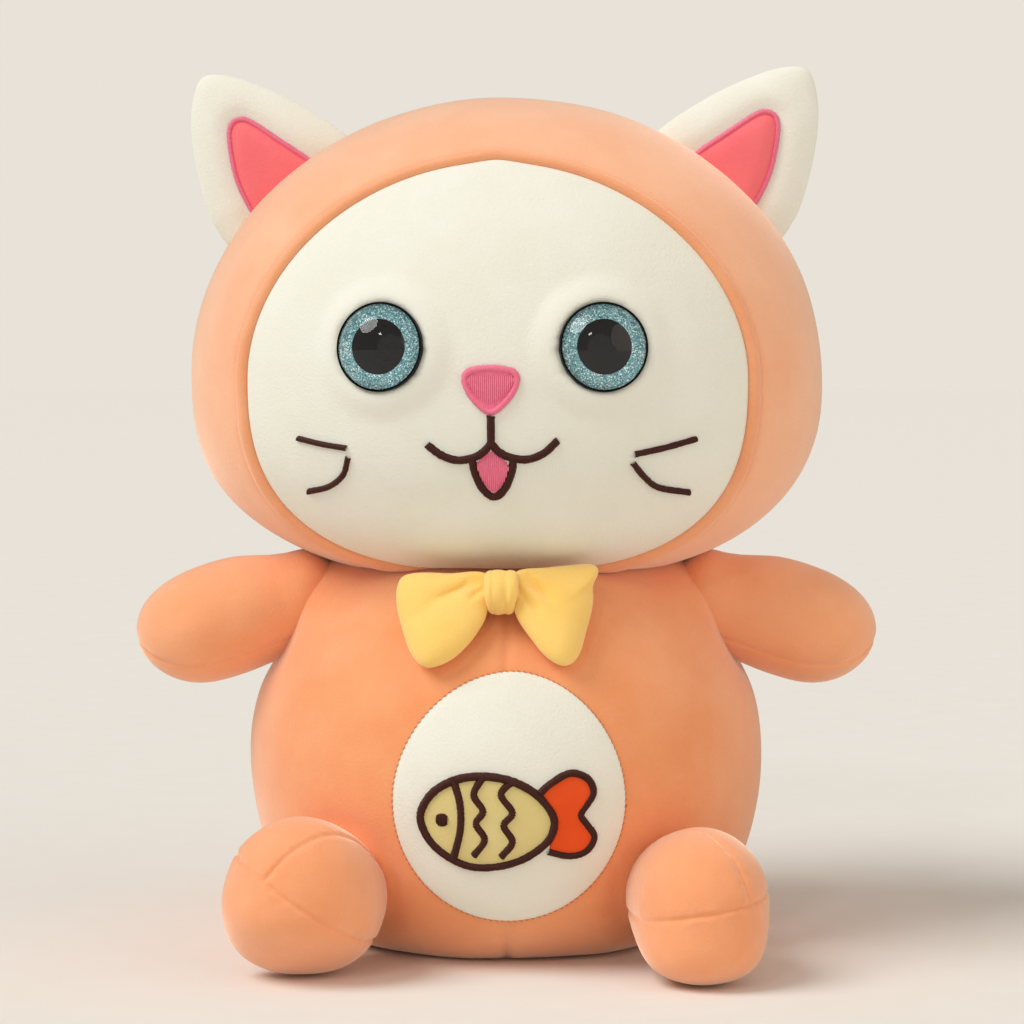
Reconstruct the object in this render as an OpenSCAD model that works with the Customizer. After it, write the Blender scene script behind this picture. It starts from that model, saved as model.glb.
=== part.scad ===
// Seated plush cat in a hooded suit, as sewn covers, stuffing, eyes, appliques and a bow tie.
// Millimetres, +Z up, front towards -Y. The origin is the middle of the seat on the floor.
// Left and right are the toy's own: its left is +X.

/* [Body] */
// Height of the body's crown, inside the neck
body_height = 166; // [150:1:185]
// Largest radius of the belly
belly_radius = 104; // [95:1:115]
// Height of the belly's widest line
belly_height = 74; // [66:1:82]
// Radius of the flat seat
base_radius = 60; // [50:1:68]

/* [Head] */
// Width across the cheeks
head_width = 255; // [235:1:275]
// Depth from brow to back
head_depth = 195; // [180:1:210]
// Height of the crown over the widest line
crown_height = 112; // [100:1:124]
// Depth of the chin under the widest line
chin_depth = 83; // [76:1:90]
// Depth that the body's crown reaches into the head
neck_sink = 23; // [19:1:27]
// Turn of the head towards the toy's right, as sewn on
head_set = 3.5; // [0:0.5:8]

/* [Face] */
// Width of the face panel
face_width = 194; // [180:1:206]
// Height of the face panel over the widest line
face_above = 83; // [76:1:90]
// Depth of the face panel under the widest line
face_below = 72; // [66:1:75]
// Height of the small peak in the middle of the brow
brow_peak = 3; // [0:0.5:5]
// Width of the hood's facing
facing_width = 5; // [4:0.5:8]

/* [Fabric] */
// Thickness of the covers
cover = 2.5; // [2:0.1:3]
// Height of the facing over the hood
facing_rise = 0.8; // [0.4:0.1:1.2]
// Depth of the face panel under the hood
face_set_back = 0.8; // [0.4:0.1:1]
// Thickness of the appliques
applique = 1.2; // [0.8:0.1:1.6]
// Height of the embroidery
thread_rise = 1.4; // [1:0.1:1.8]

/* [Ears] */
// Length of the ears out of the head
ear_length = 54; // [46:1:60]
// Width of the ears where they leave the head
ear_width = 69; // [60:1:76]
// Thickness of the ears
ear_thickness = 20; // [14:1:24]
// Angle of the ears out from upright
ear_lean = 32; // [24:1:38]
// Place of the ears round the head, down from the top
ear_place = 46; // [41:1:51]
// Length of the pink lining
lining_length = 35; // [28:1:40]
// Width of the pink lining
lining_width = 32; // [26:1:37]

/* [Eyes] */
// Distance between the eyes
eye_spacing = 84; // [76:1:92]
// Height of the eyes over the head's widest line
eye_above = 12; // [4:1:20]
// Diameter of the eyes
eye_diameter = 34; // [28:1:38]
// Diameter of the pupils
pupil_diameter = 19.5; // [15:0.5:23]
// Height of the clear dome
dome_height = 8.5; // [6:0.5:11]
// Thickness of the dark rim
rim_wall = 0.8; // [0.6:0.1:1.2]
// Diameter of the eye's post
post_diameter = 5; // [4:0.5:6]
// Length of the eye's post behind the fabric
post_length = 13; // [10:1:16]
// Diameter of the locking washer
washer_diameter = 18; // [15:1:22]
// Fabric left between the eye and its washer
pinched = 0.8; // [0.5:0.1:1]

/* [Nose and mouth] */
// Width of the nose
nose_width = 22; // [18:1:28]
// Height of the nose
nose_height = 18.4; // [15:0.2:22]
// Top of the nose over the head's widest line
nose_top = 5.6; // [3:0.2:9]
// Width of the mouth's stitching
mouth_line = 3.2; // [2.4:0.2:4]
// Length of the stem under the nose
mouth_stem = 9.9; // [8:0.2:13]
// Width of one half of the mouth
mouth_half = 26.5; // [22:0.5:30]
// Sag of each half of the mouth
mouth_sag = 6.5; // [5:0.5:8]
// Width of the tongue between its stitching
tongue_width = 14; // [11:0.5:17]
// Length of the tongue under the mouth
tongue_length = 15; // [12:0.5:18]
// Width of the whiskers
whisker_line = 2.2; // [1.6:0.2:3]
// Length of the whiskers
whisker_length = 20; // [16:1:24]
// Place of the whiskers' inner ends from the middle
whisker_start = 55; // [50:1:60]

/* [Arms] */
// Height of the shoulder
shoulder_height = 134; // [130:1:138]
// Distance of the shoulder's pivot outside the body
shoulder_stand = 12; // [11:0.5:14]
// Radius of the arm's root, a ball in the shoulder's seat
arm_root = 20.5; // [18:0.5:22]
// Largest radius of the arm
arm_radius = 24.5; // [21:0.5:27]
// Distance from pivot to the arm's widest place
arm_reach = 32; // [28:1:40]
// Distance from the widest place to the tip
arm_tip = 29; // [24:1:34]
// Slope of the arms below level
arm_slope = 12; // [6:1:15]
// Angle of the arms towards the front
arm_forward = 6; // [0:1:12]
// Angle of the arm's seam below the front
arm_seam = 38; // [0:1:60]

/* [Legs] */
// Radius of the feet
foot_radius = 28.5; // [25:0.5:31]
// Radius of the leg's root in the body
leg_root = 24; // [21:0.5:26]
// Distance from root to foot
leg_length = 30; // [24:1:36]
// Distance of the leg's root from the body's axis
leg_place = 98; // [94:1:101]
// Place of the legs round the body, out from the front
leg_round = 42; // [37:1:47]
// Angle of each leg from straight ahead
leg_splay = 15; // [8:1:22]
// Clearance under the feet
foot_clearance = 0.5; // [0.3:0.1:1]
// Turn of the right foot's seams about their meeting point
right_leg_roll = 40; // [0:1:60]
// Angle of the seams' meeting point out from the foot's own direction
toe_out = 20; // [0:1:30]
// Angle of the seams' meeting point up from the foot's own direction
toe_up = 20; // [0:1:30]

/* [Belly patch and fish] */
// Width of the patch
patch_width = 88; // [76:1:94]
// Height of the patch over its widest line
patch_above = 48.5; // [40:0.5:50]
// Depth of the patch under its widest line
patch_below = 47; // [40:0.5:50]
// Height of the patch's widest line
patch_height = 67; // [64:1:70]
// Length of the fish's body
fish_length = 52.5; // [44:0.5:56]
// Height of the fish's body
fish_height = 36; // [30:0.5:40]
// Place of the fish's body to the left of the middle
fish_shift = 7; // [4:0.5:9]
// Height of the fish's middle
fish_level = 61; // [56:1:66]
// Length of the tail behind the body
tail_length = 15; // [11:0.5:17]
// Half height of the tail
tail_half = 16; // [12:0.5:18]
// Width of the fish's stitching
fish_line = 2.7; // [2:0.1:3.2]

/* [Bow tie] */
// Height of the knot
bow_height = 143; // [140:1:146]
// Span of the loops
bow_span = 80; // [66:1:92]
// Height of the loops at their widest
loop_height = 36; // [28:1:40]
// Thickness of the loops
loop_thickness = 16; // [12:1:20]
// Width of the knot's band
band_width = 13.4; // [11:0.2:16]
// Radius of the knot's band
band_radius = 9.2; // [8:0.2:10.5]
// Thickness of the knot's band
band_wall = 2; // [1.4:0.1:2.4]

/* [Fits] */
// Gap between sewn pieces that touch
seat_gap = 0.05; // [0.03:0.01:0.1]
// Gap between pieces that move past each other
joint_gap = 0.4; // [0.3:0.05:0.8]

/* [Hidden] */

$fn = 96;
// Roundness of the head: a circle's power above, a fuller one in the cheeks
crown_power = 2;
cheek_power = 2.5;
// Roundness of the face panel's outline above and below
brow_power = 1.9;
jaw_power = 2.4;
// Roundness of the ear's outline and of its tip
ear_power = 1.25;
ear_tip_power = 0.66;
// Steps of the formed surfaces and outlines
head_rings = 18;
head_sides = 36;
ear_rings = 9;
ear_sides = 20;
loop_rings = 9;
loop_sides = 16;
body_steps = 12;
outline_steps = 48;
arc_steps = 8;

head_z = body_height - neck_sink + chin_depth;
head_half = head_width / 2;
depth_half = head_depth / 2;
face_front = -face_set_back;
foot_z = foot_radius + foot_clearance;
reach_all = head_width + head_depth;
eye_radius = eye_diameter / 2;
eye_seat = pinched - cover;
plate = 2;
foil = 0.6;
lens_level = eye_seat + seat_gap + plate + foil + 2 * seat_gap;

peach = "#F9B184";
peach_dark = "#EE8F57";
white = "#F4F0E4";
yellow = "#FFDC7A";
pink = "#FF7C8C";
brown = "#4B281E";
fill_white = "#FBFAF6";

// Plain helpers for directions and outlines.
function unit(v) = v / norm(v);
function side(d) = [-d[1], d[0]];
function turned(v, a) = [v[0] * cos(a) - v[1] * sin(a), v[0] * sin(a) + v[1] * cos(a)];
function mixed(a, b, k) = a + (b - a) * k;
function eased(k) = let (c = min(1, max(0, k))) c * c * (3 - 2 * c);
function signed(v, p) = sign(v) * pow(abs(v), p);

// Corner of an outline as an arc of radius r.
function corner(a, b, c, r) =
  let (
    u = unit(a - b),
    v = unit(c - b),
    half = acos(u * v) / 2,
    middle = b + unit(u + v) * r / sin(half),
    from = b + u * r / tan(half) - middle,
    to = b + v * r / tan(half) - middle
  )
  [for (i = [0:arc_steps]) middle + r * unit(mixed(from, to, i / arc_steps))];
function rounded(p, r) =
  let (n = len(p))
  [for (i = [0:n - 1]) each corner(p[(i + n - 1) % n], p[i], p[(i + 1) % n], r)];

// Line of stitching of width w along the points p, with round ends.
function stroke(p, w) =
  let (
    n = len(p) - 1,
    d = [for (i = [0:n]) unit(p[min(i + 1, n)] - p[max(i - 1, 0)])]
  )
  concat(
    [for (i = [0:n]) p[i] + side(d[i]) * w / 2],
    [for (k = [1:arc_steps - 1]) p[n] + turned(side(d[n]), -180 * k / arc_steps) * w / 2],
    [for (i = [n:-1:0]) p[i] - side(d[i]) * w / 2],
    [for (k = [1:arc_steps - 1]) p[0] - turned(side(d[0]), -180 * k / arc_steps) * w / 2]
  );
function curve(a, b, c) =
  [for (i = [0:arc_steps]) let (k = i / arc_steps) mixed(mixed(a, b, k), mixed(b, c, k), k)];

// Oval with unlike halves above and below its widest line, moved outward by o.
function oval(w, above, below, power_above, power_below, o) =
  [for (i = [0:outline_steps - 1])
    let (
      t = 360 * i / outline_steps,
      h = sin(t) < 0 ? below : above,
      n = sin(t) < 0 ? power_below : power_above,
      q = [signed(cos(t), 2 - 2 / n) / w, signed(sin(t), 2 - 2 / n) / h]
    )
    [w * signed(cos(t), 2 / n), h * signed(sin(t), 2 / n)] + o * unit(q)];

// Body's profile, radius and height, moved outward by o.
function body_arc(from, to, r, w, h, o) =
  [for (i = [0:body_steps])
    let (a = from + (to - from) * i / body_steps)
    [r + w * cos(a), belly_height + h * sin(a)] + o * unit([cos(a) / w, sin(a) / h])];
function body_profile(o) =
  concat(
    [[0, -o]],
    body_arc(-90, -90 / body_steps, base_radius, belly_radius - base_radius, belly_height, o),
    body_arc(0, 90, 0, belly_radius, body_height - belly_height, o)
  );
function body_radius(z) =
  belly_radius * sqrt(max(0, 1 - pow((z - belly_height) / (body_height - belly_height), 2)));
function body_slope(z) = let (k = (z - belly_height) / (body_height - belly_height))
  unit([sqrt(1 - k * k) / belly_radius, k / (body_height - belly_height)]);

// Point of the head at latitude t and longitude f, moved outward by o.
function head_point(t, f, o) =
  let (
    h = t < 0 ? chin_depth : crown_height,
    n = t < 0 ? cheek_power : crown_power,
    out = pow(cos(t), 2 - 2 / n),
    q = [out * cos(f) / head_half, out * sin(f) / depth_half, signed(sin(t), 2 - 2 / n) / h],
    r = pow(cos(t), 2 / n)
  )
  [head_half * r * cos(f), depth_half * r * sin(f), h * signed(sin(t), 2 / n)] + o * unit(q);

// Front of the head and its outward direction at x, z from the head's middle.
function head_round(z) =
  let (n = z < 0 ? cheek_power : crown_power, h = z < 0 ? chin_depth : crown_height)
  pow(1 - pow(abs(z) / h, n), 1 / n);
function head_front(x, z) = -depth_half * sqrt(pow(head_round(z), 2) - pow(x / head_half, 2));
function head_normal(x, z) =
  let (
    n = z < 0 ? cheek_power : crown_power,
    h = z < 0 ? chin_depth : crown_height,
    k = pow(head_round(z), n - 2)
  )
  unit([
    k * x / pow(head_half, 2),
    k * head_front(x, z) / pow(depth_half, 2),
    sign(z) * pow(abs(z) / h, n - 1) / h
  ]);

// Triangles of a closed form made of rings of points, with a single point at either end.
function ring_faces(rings, sides) =
  let (last = rings * sides + 1)
  concat(
    [for (j = [0:sides - 1]) [0, 1 + (j + 1) % sides, 1 + j]],
    [for (i = [0:rings - 2], j = [0:sides - 1])
      let (a = 1 + i * sides + j, b = 1 + i * sides + (j + 1) % sides) [a, b, a + sides]],
    [for (i = [0:rings - 2], j = [0:sides - 1])
      let (a = 1 + i * sides + j, b = 1 + i * sides + (j + 1) % sides) [b, b + sides, a + sides]],
    [for (j = [0:sides - 1]) [last, last - sides + j, last - sides + (j + 1) % sides]]
  );

// Whole forms, each moved outward by o.
module body_form(o) {
  rotate_extrude()
    polygon(body_profile(o));
}

module head_form(o) {
  points = concat(
    [head_point(-90, 0, o)],
    [for (i = [1:head_rings - 1], j = [0:head_sides - 1])
      head_point(-90 + 180 * i / head_rings, -360 * j / head_sides, o)],
    [head_point(90, 0, o)]
  );
  translate([0, 0, head_z])
    polyhedron(points, ring_faces(head_rings - 1, head_sides));
}

module arm_form(o) {
  rotate([0, 90, 0])
    rotate_extrude()
      polygon(concat(
        [for (i = [0:body_steps]) let (a = -90 + 90 * i / body_steps)
          (arm_root + o) * [cos(a), sin(a)]],
        [for (i = [1:body_steps]) let (k = i / body_steps)
          [arm_root + (arm_radius - arm_root) * sin(90 * k) + o, arm_reach * k]],
        [for (i = [1:body_steps]) let (a = 90 * i / body_steps)
          [(arm_radius + o) * cos(a), arm_reach + (arm_tip + o) * sin(a)]]
      ));
}

module leg_form(o) {
  tilt = asin((foot_radius - leg_root) / leg_length);
  rotate([0, 90, 0])
    rotate_extrude()
      polygon(concat(
        [for (i = [0:body_steps]) let (a = mixed(-90, -tilt, i / body_steps))
          (leg_root + o) * [cos(a), sin(a)]],
        [for (i = [0:body_steps]) let (a = mixed(-tilt, 90, i / body_steps))
          [0, leg_length] + (foot_radius + o) * [cos(a), sin(a)]]
      ));
}

module ball_form(r) {
  rotate_extrude()
    polygon([for (i = [0:2 * body_steps]) let (a = -90 + 90 * i / body_steps) r * [cos(a), sin(a)]]);
}

// Places of the moving pieces and of what is sewn on. A mirror makes the right-hand ones.
module at_left_arm() {
  rotate([0, 0, -arm_forward])
    translate([body_radius(shoulder_height) + shoulder_stand, 0, shoulder_height])
      rotate([0, arm_slope, 0])
        children();
}

module at_left_leg() {
  rotate([0, 0, leg_round - 90])
    translate([leg_place, 0, foot_z])
      rotate([0, 0, leg_splay - leg_round])
        children();
}

module at_left_eye() {
  n = head_normal(eye_spacing / 2, eye_above);
  translate([eye_spacing / 2, head_front(eye_spacing / 2, eye_above), head_z + eye_above])
    rotate([0, acos(n[2]), atan2(n[1], n[0])])
      children();
}

module on_right() {
  mirror([1, 0, 0])
    children();
}

// The head as it is sewn on, turned a little.
module as_set() {
  rotate([0, 0, -head_set])
    children();
}

// Outline seen from the front, driven through from the middle to the front.
module through_face() {
  translate([0, 0, head_z])
    rotate([90, 0, 0])
      linear_extrude(head_depth)
        children();
}

module through_belly() {
  rotate([90, 0, 0])
    linear_extrude(2 * belly_radius)
      children();
}

// Layer of the face or the belly between two heights over the cover, inside an outline.
module face_layer(low, high) {
  difference() {
    intersection() {
      head_form(face_front + high);
      through_face()
        children();
    }
    head_form(face_front + low);
  }
}

module belly_layer(low, high) {
  difference() {
    intersection() {
      body_form(high);
      through_belly()
        children();
    }
    body_form(low);
  }
}

// Half of the space, on the toy's left of a plane through the axis.
module half_space(r) {
  translate([seat_gap / 2, -r, -r])
    cube(2 * r);
}

// Torso.
module limb_seats() {
  at_left_arm()
    ball_form(arm_root + joint_gap);
  at_left_leg()
    leg_form(joint_gap);
}

module base_panel() {
  color(peach_dark)
    cylinder(r = base_radius - seat_gap, h = cover);
}

module left_half_cover() {
  difference() {
    intersection() {
      body_form(0);
      half_space(reach_all);
    }
    body_form(-cover);
    translate([0, 0, -cover])
      cylinder(r = base_radius, h = 3 * cover);
    limb_seats();
  }
}

module body_left_panel() {
  color(peach)
    left_half_cover();
}

module body_right_panel() {
  color(peach)
    on_right()
      left_half_cover();
}

module body_stuffing() {
  color(fill_white)
    difference() {
      body_form(-cover - seat_gap);
      limb_seats();
      on_right()
        limb_seats();
    }
}

// Patch and fish, laid on the belly.
module patch_outline() {
  translate([0, patch_height])
    polygon(oval(patch_width / 2, patch_above, patch_below, brow_power, crown_power, 0));
}

module belly_patch() {
  color(white)
    difference() {
      belly_layer(seat_gap, applique)
        patch_outline();
      limb_seats();
      on_right()
        limb_seats();
    }
}

module fish_frame() {
  translate([-fish_shift, fish_level])
    children();
}

module fish_oval(o) {
  polygon(oval(fish_length / 2, fish_height / 2, fish_height / 2, crown_power, crown_power, o));
}

function tail_path() =
  let (start = fish_length / 2 - 6, end = fish_length / 2 + tail_length)
  [
    [start, tail_half * 0.62],
    each corner([start, tail_half * 0.62], [end - 6, tail_half * 1.1], [end + 1, tail_half * 0.72], 3.5),
    each corner([end - 6, tail_half * 1.1], [end + 1, tail_half * 0.72], [end - 6, 0], 3),
    [end - 5, 1],
    [end - 5, -1],
    each corner([end - 6, 0], [end + 1, -tail_half * 0.72], [end - 6, -tail_half], 3),
    each corner([end + 1, -tail_half * 0.72], [end - 6, -tail_half * 1.1], [start, -tail_half * 0.62], 3.5),
    [start, -tail_half * 0.62]
  ];

function wave(x) =
  [for (i = [0:3 * arc_steps])
    let (k = i / (3 * arc_steps))
    [x + 1.9 * cos(900 * k), fish_height * 0.47 * (1 - 2 * k)]];

module fish_lines() {
  gill = -fish_length * 0.235;
  polygon(stroke(curve([gill, fish_height * 0.43], [gill + 5, 0], [gill, -fish_height * 0.43]), fish_line));
  polygon(stroke(wave(-fish_length * 0.065), fish_line));
  polygon(stroke(wave(fish_length * 0.125), fish_line));
}

module fish_body() {
  color("#E6D890")
    belly_layer(applique + seat_gap, 2 * applique)
      fish_frame()
        fish_oval(-fish_line - seat_gap);
}

module fish_stitching() {
  color(brown)
    difference() {
      belly_layer(applique + seat_gap, 2 * applique + thread_rise / 2)
        fish_frame() {
          difference() {
            fish_oval(0);
            fish_oval(-fish_line);
          }
          intersection() {
            fish_oval(-fish_line / 2);
            fish_lines();
          }
        }
      belly_layer(0, 2 * applique + seat_gap)
        fish_frame()
          fish_oval(-fish_line);
    }
}

module tail_stitching() {
  color(brown)
    belly_layer(applique + seat_gap, 2 * applique + thread_rise / 2)
      fish_frame()
        difference() {
          polygon(stroke(tail_path(), fish_line));
          fish_oval(seat_gap);
        }
}

module fish_tail() {
  color("#F25A24")
    belly_layer(applique + seat_gap, 2 * applique)
      fish_frame()
        difference() {
          polygon(tail_path());
          polygon(stroke(tail_path(), fish_line + 2 * seat_gap));
          fish_oval(seat_gap);
        }
}

module fish_eye() {
  eye = [fish_line * 1.4, fish_line * 1.7];
  color(brown)
    belly_layer(2 * applique + seat_gap, 2 * applique + thread_rise / 2)
      fish_frame()
        translate([-fish_length * 0.32, 0])
          square(eye, center = true);
}

// Bow tie, sewn to the chest under the chin.
function chest(x, z) = sqrt(max(0, pow(body_radius(z), 2) - x * x));
function band_seat() = bow_height - (band_radius + seat_gap) * body_slope(bow_height - band_radius)[1];
function band_y() = -body_radius(band_seat()) - (band_radius + seat_gap) * body_slope(band_seat())[0];
function loop_point(k, f) =
  let (
    x = mixed(seat_gap / 2, bow_span / 2, k),
    open = eased((x - band_width / 2) / (bow_span / 2 - band_width / 2) * 1.6 + 0.08),
    end = sqrt(max(0, 1 - pow(max(0, (k - 0.7) / 0.3), 2.5))),
    neck = (band_radius - band_wall) * 0.68,
    tall = mixed(neck, loop_height / 2, open),
    deep = mixed(neck, loop_thickness / 2, open) * end,
    z = bow_height - (tall - neck) * 0.75 + tall * end * sin(f),
    rest = -chest(x, z) - deep * 0.8
  )
  [x, mixed(band_y(), rest, open) - deep * cos(f), z];

module left_loop() {
  points = concat(
    [loop_point(0, 0) + [0, (band_radius - band_wall) * 0.68, 0]],
    [for (i = [0:loop_rings - 1], j = [0:loop_sides - 1])
      loop_point(i / loop_rings, 360 * j / loop_sides)],
    [loop_point(1, 0)]
  );
  difference() {
    polyhedron(points, ring_faces(loop_rings, loop_sides));
    body_form(seat_gap);
  }
}

module bow_left_loop() {
  color(yellow)
    left_loop();
}

module bow_right_loop() {
  color(yellow)
    on_right()
      left_loop();
}

module bow_band() {
  half = band_width / 2;
  inner = band_radius - band_wall;
  edge = band_wall * 0.35;
  color(yellow)
    translate([0, band_y(), bow_height])
      rotate([0, 90, 0])
        rotate_extrude()
          polygon([
            [inner, -half],
            [band_radius - edge, -half],
            [band_radius, edge - half],
            [band_radius, half - edge],
            [band_radius - edge, half],
            [inner, half]
          ]);
}

// Head.
module face_outline(o) {
  peak = facing_width * 2;
  polygon([for (p = oval(face_width / 2, face_above, face_below, brow_power, jaw_power, o))
    p + [0, p[1] > 0 ? brow_peak * max(0, 1 - abs(p[0]) / peak) : 0]]);
}

module hood() {
  color(peach)
    difference() {
      head_form(0);
      body_form(joint_gap);
      difference() {
        head_form(-cover);
        body_form(joint_gap + cover);
      }
      through_face()
        face_outline(facing_width);
    }
}

module hood_facing() {
  color(peach_dark)
    difference() {
      intersection() {
        head_form(facing_rise);
        through_face()
          difference() {
            face_outline(facing_width - seat_gap);
            face_outline(0);
          }
      }
      head_form(-cover);
      body_form(joint_gap);
    }
}

module eye_hole() {
  translate([0, 0, eye_seat])
    cylinder(r = eye_radius + seat_gap, h = eye_radius);
  translate([0, 0, eye_seat - pinched - washer_diameter])
    cylinder(d = washer_diameter + 4 * seat_gap, h = washer_diameter);
  translate([0, 0, -post_length])
    cylinder(d = post_diameter + 2 * seat_gap, h = 2 * post_length);
}

module face_panel() {
  color(white)
    difference() {
      intersection() {
        head_form(face_front);
        through_face()
          face_outline(-seat_gap);
      }
      head_form(-cover);
      body_form(joint_gap);
      at_left_eye()
        eye_hole();
      on_right()
        at_left_eye()
          eye_hole();
    }
}

module eye_pocket() {
  translate([0, 0, eye_seat - pinched - post_length - seat_gap])
    cylinder(d = washer_diameter + 4 * seat_gap, h = post_length + cover);
}

module head_stuffing() {
  color(fill_white)
    difference() {
      head_form(-cover - seat_gap);
      body_form(joint_gap + cover + seat_gap);
      at_left_eye()
        eye_pocket();
      on_right()
        at_left_eye()
          eye_pocket();
    }
}

// Embroidery of the face.
function nose_points() =
  let (w = nose_width / 2 + 3.5, bottom = nose_top - nose_height - 3.5)
  rounded([[-w, nose_top], [w, nose_top], [0, bottom]], nose_height / 5);
function nose_low() = min([for (p = nose_points()) p[1]]);
function mouth_z() = nose_low() - seat_gap - mouth_stem;
function mouth_arc(s) =
  let (
    r = (pow(mouth_half / 2, 2) + pow(mouth_sag, 2)) / (2 * mouth_sag),
    half = asin(mouth_half / 2 / r)
  )
  [for (i = [0:arc_steps])
    let (a = -90 + half * (1 - 2 * i / arc_steps))
    [s * mouth_half / 2 + r * cos(a), mouth_z() + r - mouth_sag + r * sin(a)]];
function tongue_arc(o) =
  [for (i = [0:2 * arc_steps])
    let (a = 180 + 180 * i / (2 * arc_steps), top = mouth_z() - mouth_sag * 0.6)
    [(tongue_width / 2 + o) * cos(a), top + (tongue_length + o) * sin(a)]];

module mouth_lines(w) {
  polygon(stroke([[0, mouth_z() + mouth_stem - w / 2], [0, mouth_z()]], w));
  polygon(stroke(mouth_arc(-1), w));
  polygon(stroke(mouth_arc(1), w));
  polygon(stroke(tongue_arc(mouth_line / 2), w));
}

module nose() {
  color(pink)
    face_layer(seat_gap, thread_rise)
      polygon(nose_points());
}

module mouth() {
  color(brown)
    face_layer(seat_gap, thread_rise)
      mouth_lines(mouth_line);
}

module tongue() {
  color(pink)
    face_layer(seat_gap, thread_rise * 0.8)
      difference() {
        polygon(tongue_arc(mouth_line / 2));
        mouth_lines(mouth_line + 2 * seat_gap);
      }
}

function whisker_upper() =
  let (a = [whisker_start, mouth_z() - 3], b = a + whisker_length * [0.985, 0.17])
  curve(a, (a + b) / 2 + [0, -0.6], b);
function whisker_lower() =
  let (a = [whisker_start, mouth_z() - 7], b = a + whisker_length * [0.84, -0.68])
  curve(a, a + whisker_length * [0.17, -0.58], b);

module left_whisker(p) {
  color(brown)
    face_layer(seat_gap, thread_rise * 0.8)
      polygon(stroke(p, whisker_line));
}

module left_whisker_upper() {
  left_whisker(whisker_upper());
}

module left_whisker_lower() {
  left_whisker(whisker_lower());
}

module right_whisker_upper() {
  on_right()
    left_whisker(whisker_upper());
}

module right_whisker_lower() {
  on_right()
    left_whisker(whisker_lower());
}

// Eyes: a backing plate with rim and post, foil iris, pupil, clear dome and locking washer.
module eye_back() {
  low = eye_seat + seat_gap;
  color("#1B1B20")
    rotate_extrude()
      polygon([
        [0, low - post_length],
        [post_diameter / 2, low - post_length],
        [post_diameter / 2, low],
        [eye_radius, low],
        [eye_radius, lens_level + 1],
        [eye_radius - rim_wall, lens_level + 1],
        [eye_radius - rim_wall, low + plate],
        [0, low + plate]
      ]);
}

module eye_foil(outer, inner, tint) {
  color(tint)
    translate([0, 0, eye_seat + 2 * seat_gap + plate])
      difference() {
        cylinder(r = outer, h = foil);
        translate([0, 0, -foil])
          cylinder(r = inner, h = 3 * foil);
      }
}

module eye_iris() {
  eye_foil(eye_radius - rim_wall - seat_gap, pupil_diameter / 2 + seat_gap, "#5E9CB5");
}

module eye_pupil() {
  color("#0C0B0E")
    translate([0, 0, eye_seat + 2 * seat_gap + plate])
      cylinder(d = pupil_diameter, h = foil);
}

module eye_lens() {
  r = eye_radius - rim_wall - seat_gap;
  ball = (r * r + dome_height * dome_height) / (2 * dome_height);
  color("#CFE6EE", 0.4)
    intersection() {
      translate([0, 0, lens_level])
        cylinder(r = r, h = dome_height + 2);
      translate([0, 0, lens_level + 1 + dome_height - ball])
        sphere(ball);
    }
}

module eye_washer() {
  front = eye_seat - pinched - seat_gap;
  hole = post_diameter / 2 + seat_gap;
  hub = post_diameter / 2 + 2;
  color("#E8E8E6")
    rotate_extrude()
      polygon([
        [hole, front],
        [washer_diameter / 2, front],
        [washer_diameter / 2, front - 1.6],
        [hub, front - 1.6],
        [hub, front - 4],
        [hole, front - 4]
      ]);
}

module left_eye_back() {
  at_left_eye()
    eye_back();
}

module left_eye_iris() {
  at_left_eye()
    eye_iris();
}

module left_eye_pupil() {
  at_left_eye()
    eye_pupil();
}

module left_eye_lens() {
  at_left_eye()
    eye_lens();
}

module left_eye_washer() {
  at_left_eye()
    eye_washer();
}

module right_eye_back() {
  on_right()
    left_eye_back();
}

module right_eye_iris() {
  on_right()
    left_eye_iris();
}

module right_eye_pupil() {
  on_right()
    left_eye_pupil();
}

module right_eye_lens() {
  on_right()
    left_eye_lens();
}

module right_eye_washer() {
  on_right()
    left_eye_washer();
}

// Ears, padded and standing on the hood. Along the ear, k runs from its base to its tip.
function ear_base() =
  let (p = head_point(90 - ear_place, 0, 0))
  [p[0], head_z + p[2]];
function ear_half(k) =
  ear_width / 2 * pow(max(0, 1 - pow(max(0, k), ear_power)), ear_tip_power);
function ear_point(k, f) =
  let (
    along = [sin(ear_lean), cos(ear_lean)],
    across = [cos(ear_lean), -sin(ear_lean)],
    p = ear_base() + along * k * ear_length + across * (ear_half(k) * cos(f) + ear_length * (k - 0.5) * 0.09)
  )
  [p[0], -ear_thickness / 2 * sqrt(1 - pow(max(0, k), 2)) * sin(f), p[1]];

module left_ear_form() {
  under = 0.45;
  points = concat(
    [ear_point(-under, 90) + [0, ear_thickness / 2, 0]],
    [for (i = [0:ear_rings], j = [0:ear_sides - 1])
      ear_point(mixed(1, -under, pow(1 - i / (ear_rings + 1), 1.6)), 360 * j / ear_sides)],
    [ear_point(1, 0)]
  );
  polyhedron(points, ring_faces(ear_rings + 1, ear_sides));
}

module left_ear_shape() {
  color(white)
    difference() {
      left_ear_form();
      head_form(seat_gap);
    }
}

module left_lining_outline() {
  w = lining_width / 2;
  translate(ear_base())
    rotate(-ear_lean)
      translate([-1, -1.5])
        polygon(rounded([[-w, 0], [w, 0], [4.5, lining_length]], 3.5));
}

module left_lining_shape() {
  color(pink)
    difference() {
      intersection() {
        translate([0, -applique, 0])
          left_ear_form();
        rotate([90, 0, 0])
          linear_extrude(ear_thickness + applique)
            left_lining_outline();
      }
      translate([0, -seat_gap, 0])
        left_ear_form();
      head_form(seat_gap);
    }
}

module left_ear() {
  left_ear_shape();
}

module left_ear_lining() {
  left_lining_shape();
}

module right_ear() {
  on_right()
    left_ear_shape();
}

module right_ear_lining() {
  on_right()
    left_lining_shape();
}

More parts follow.
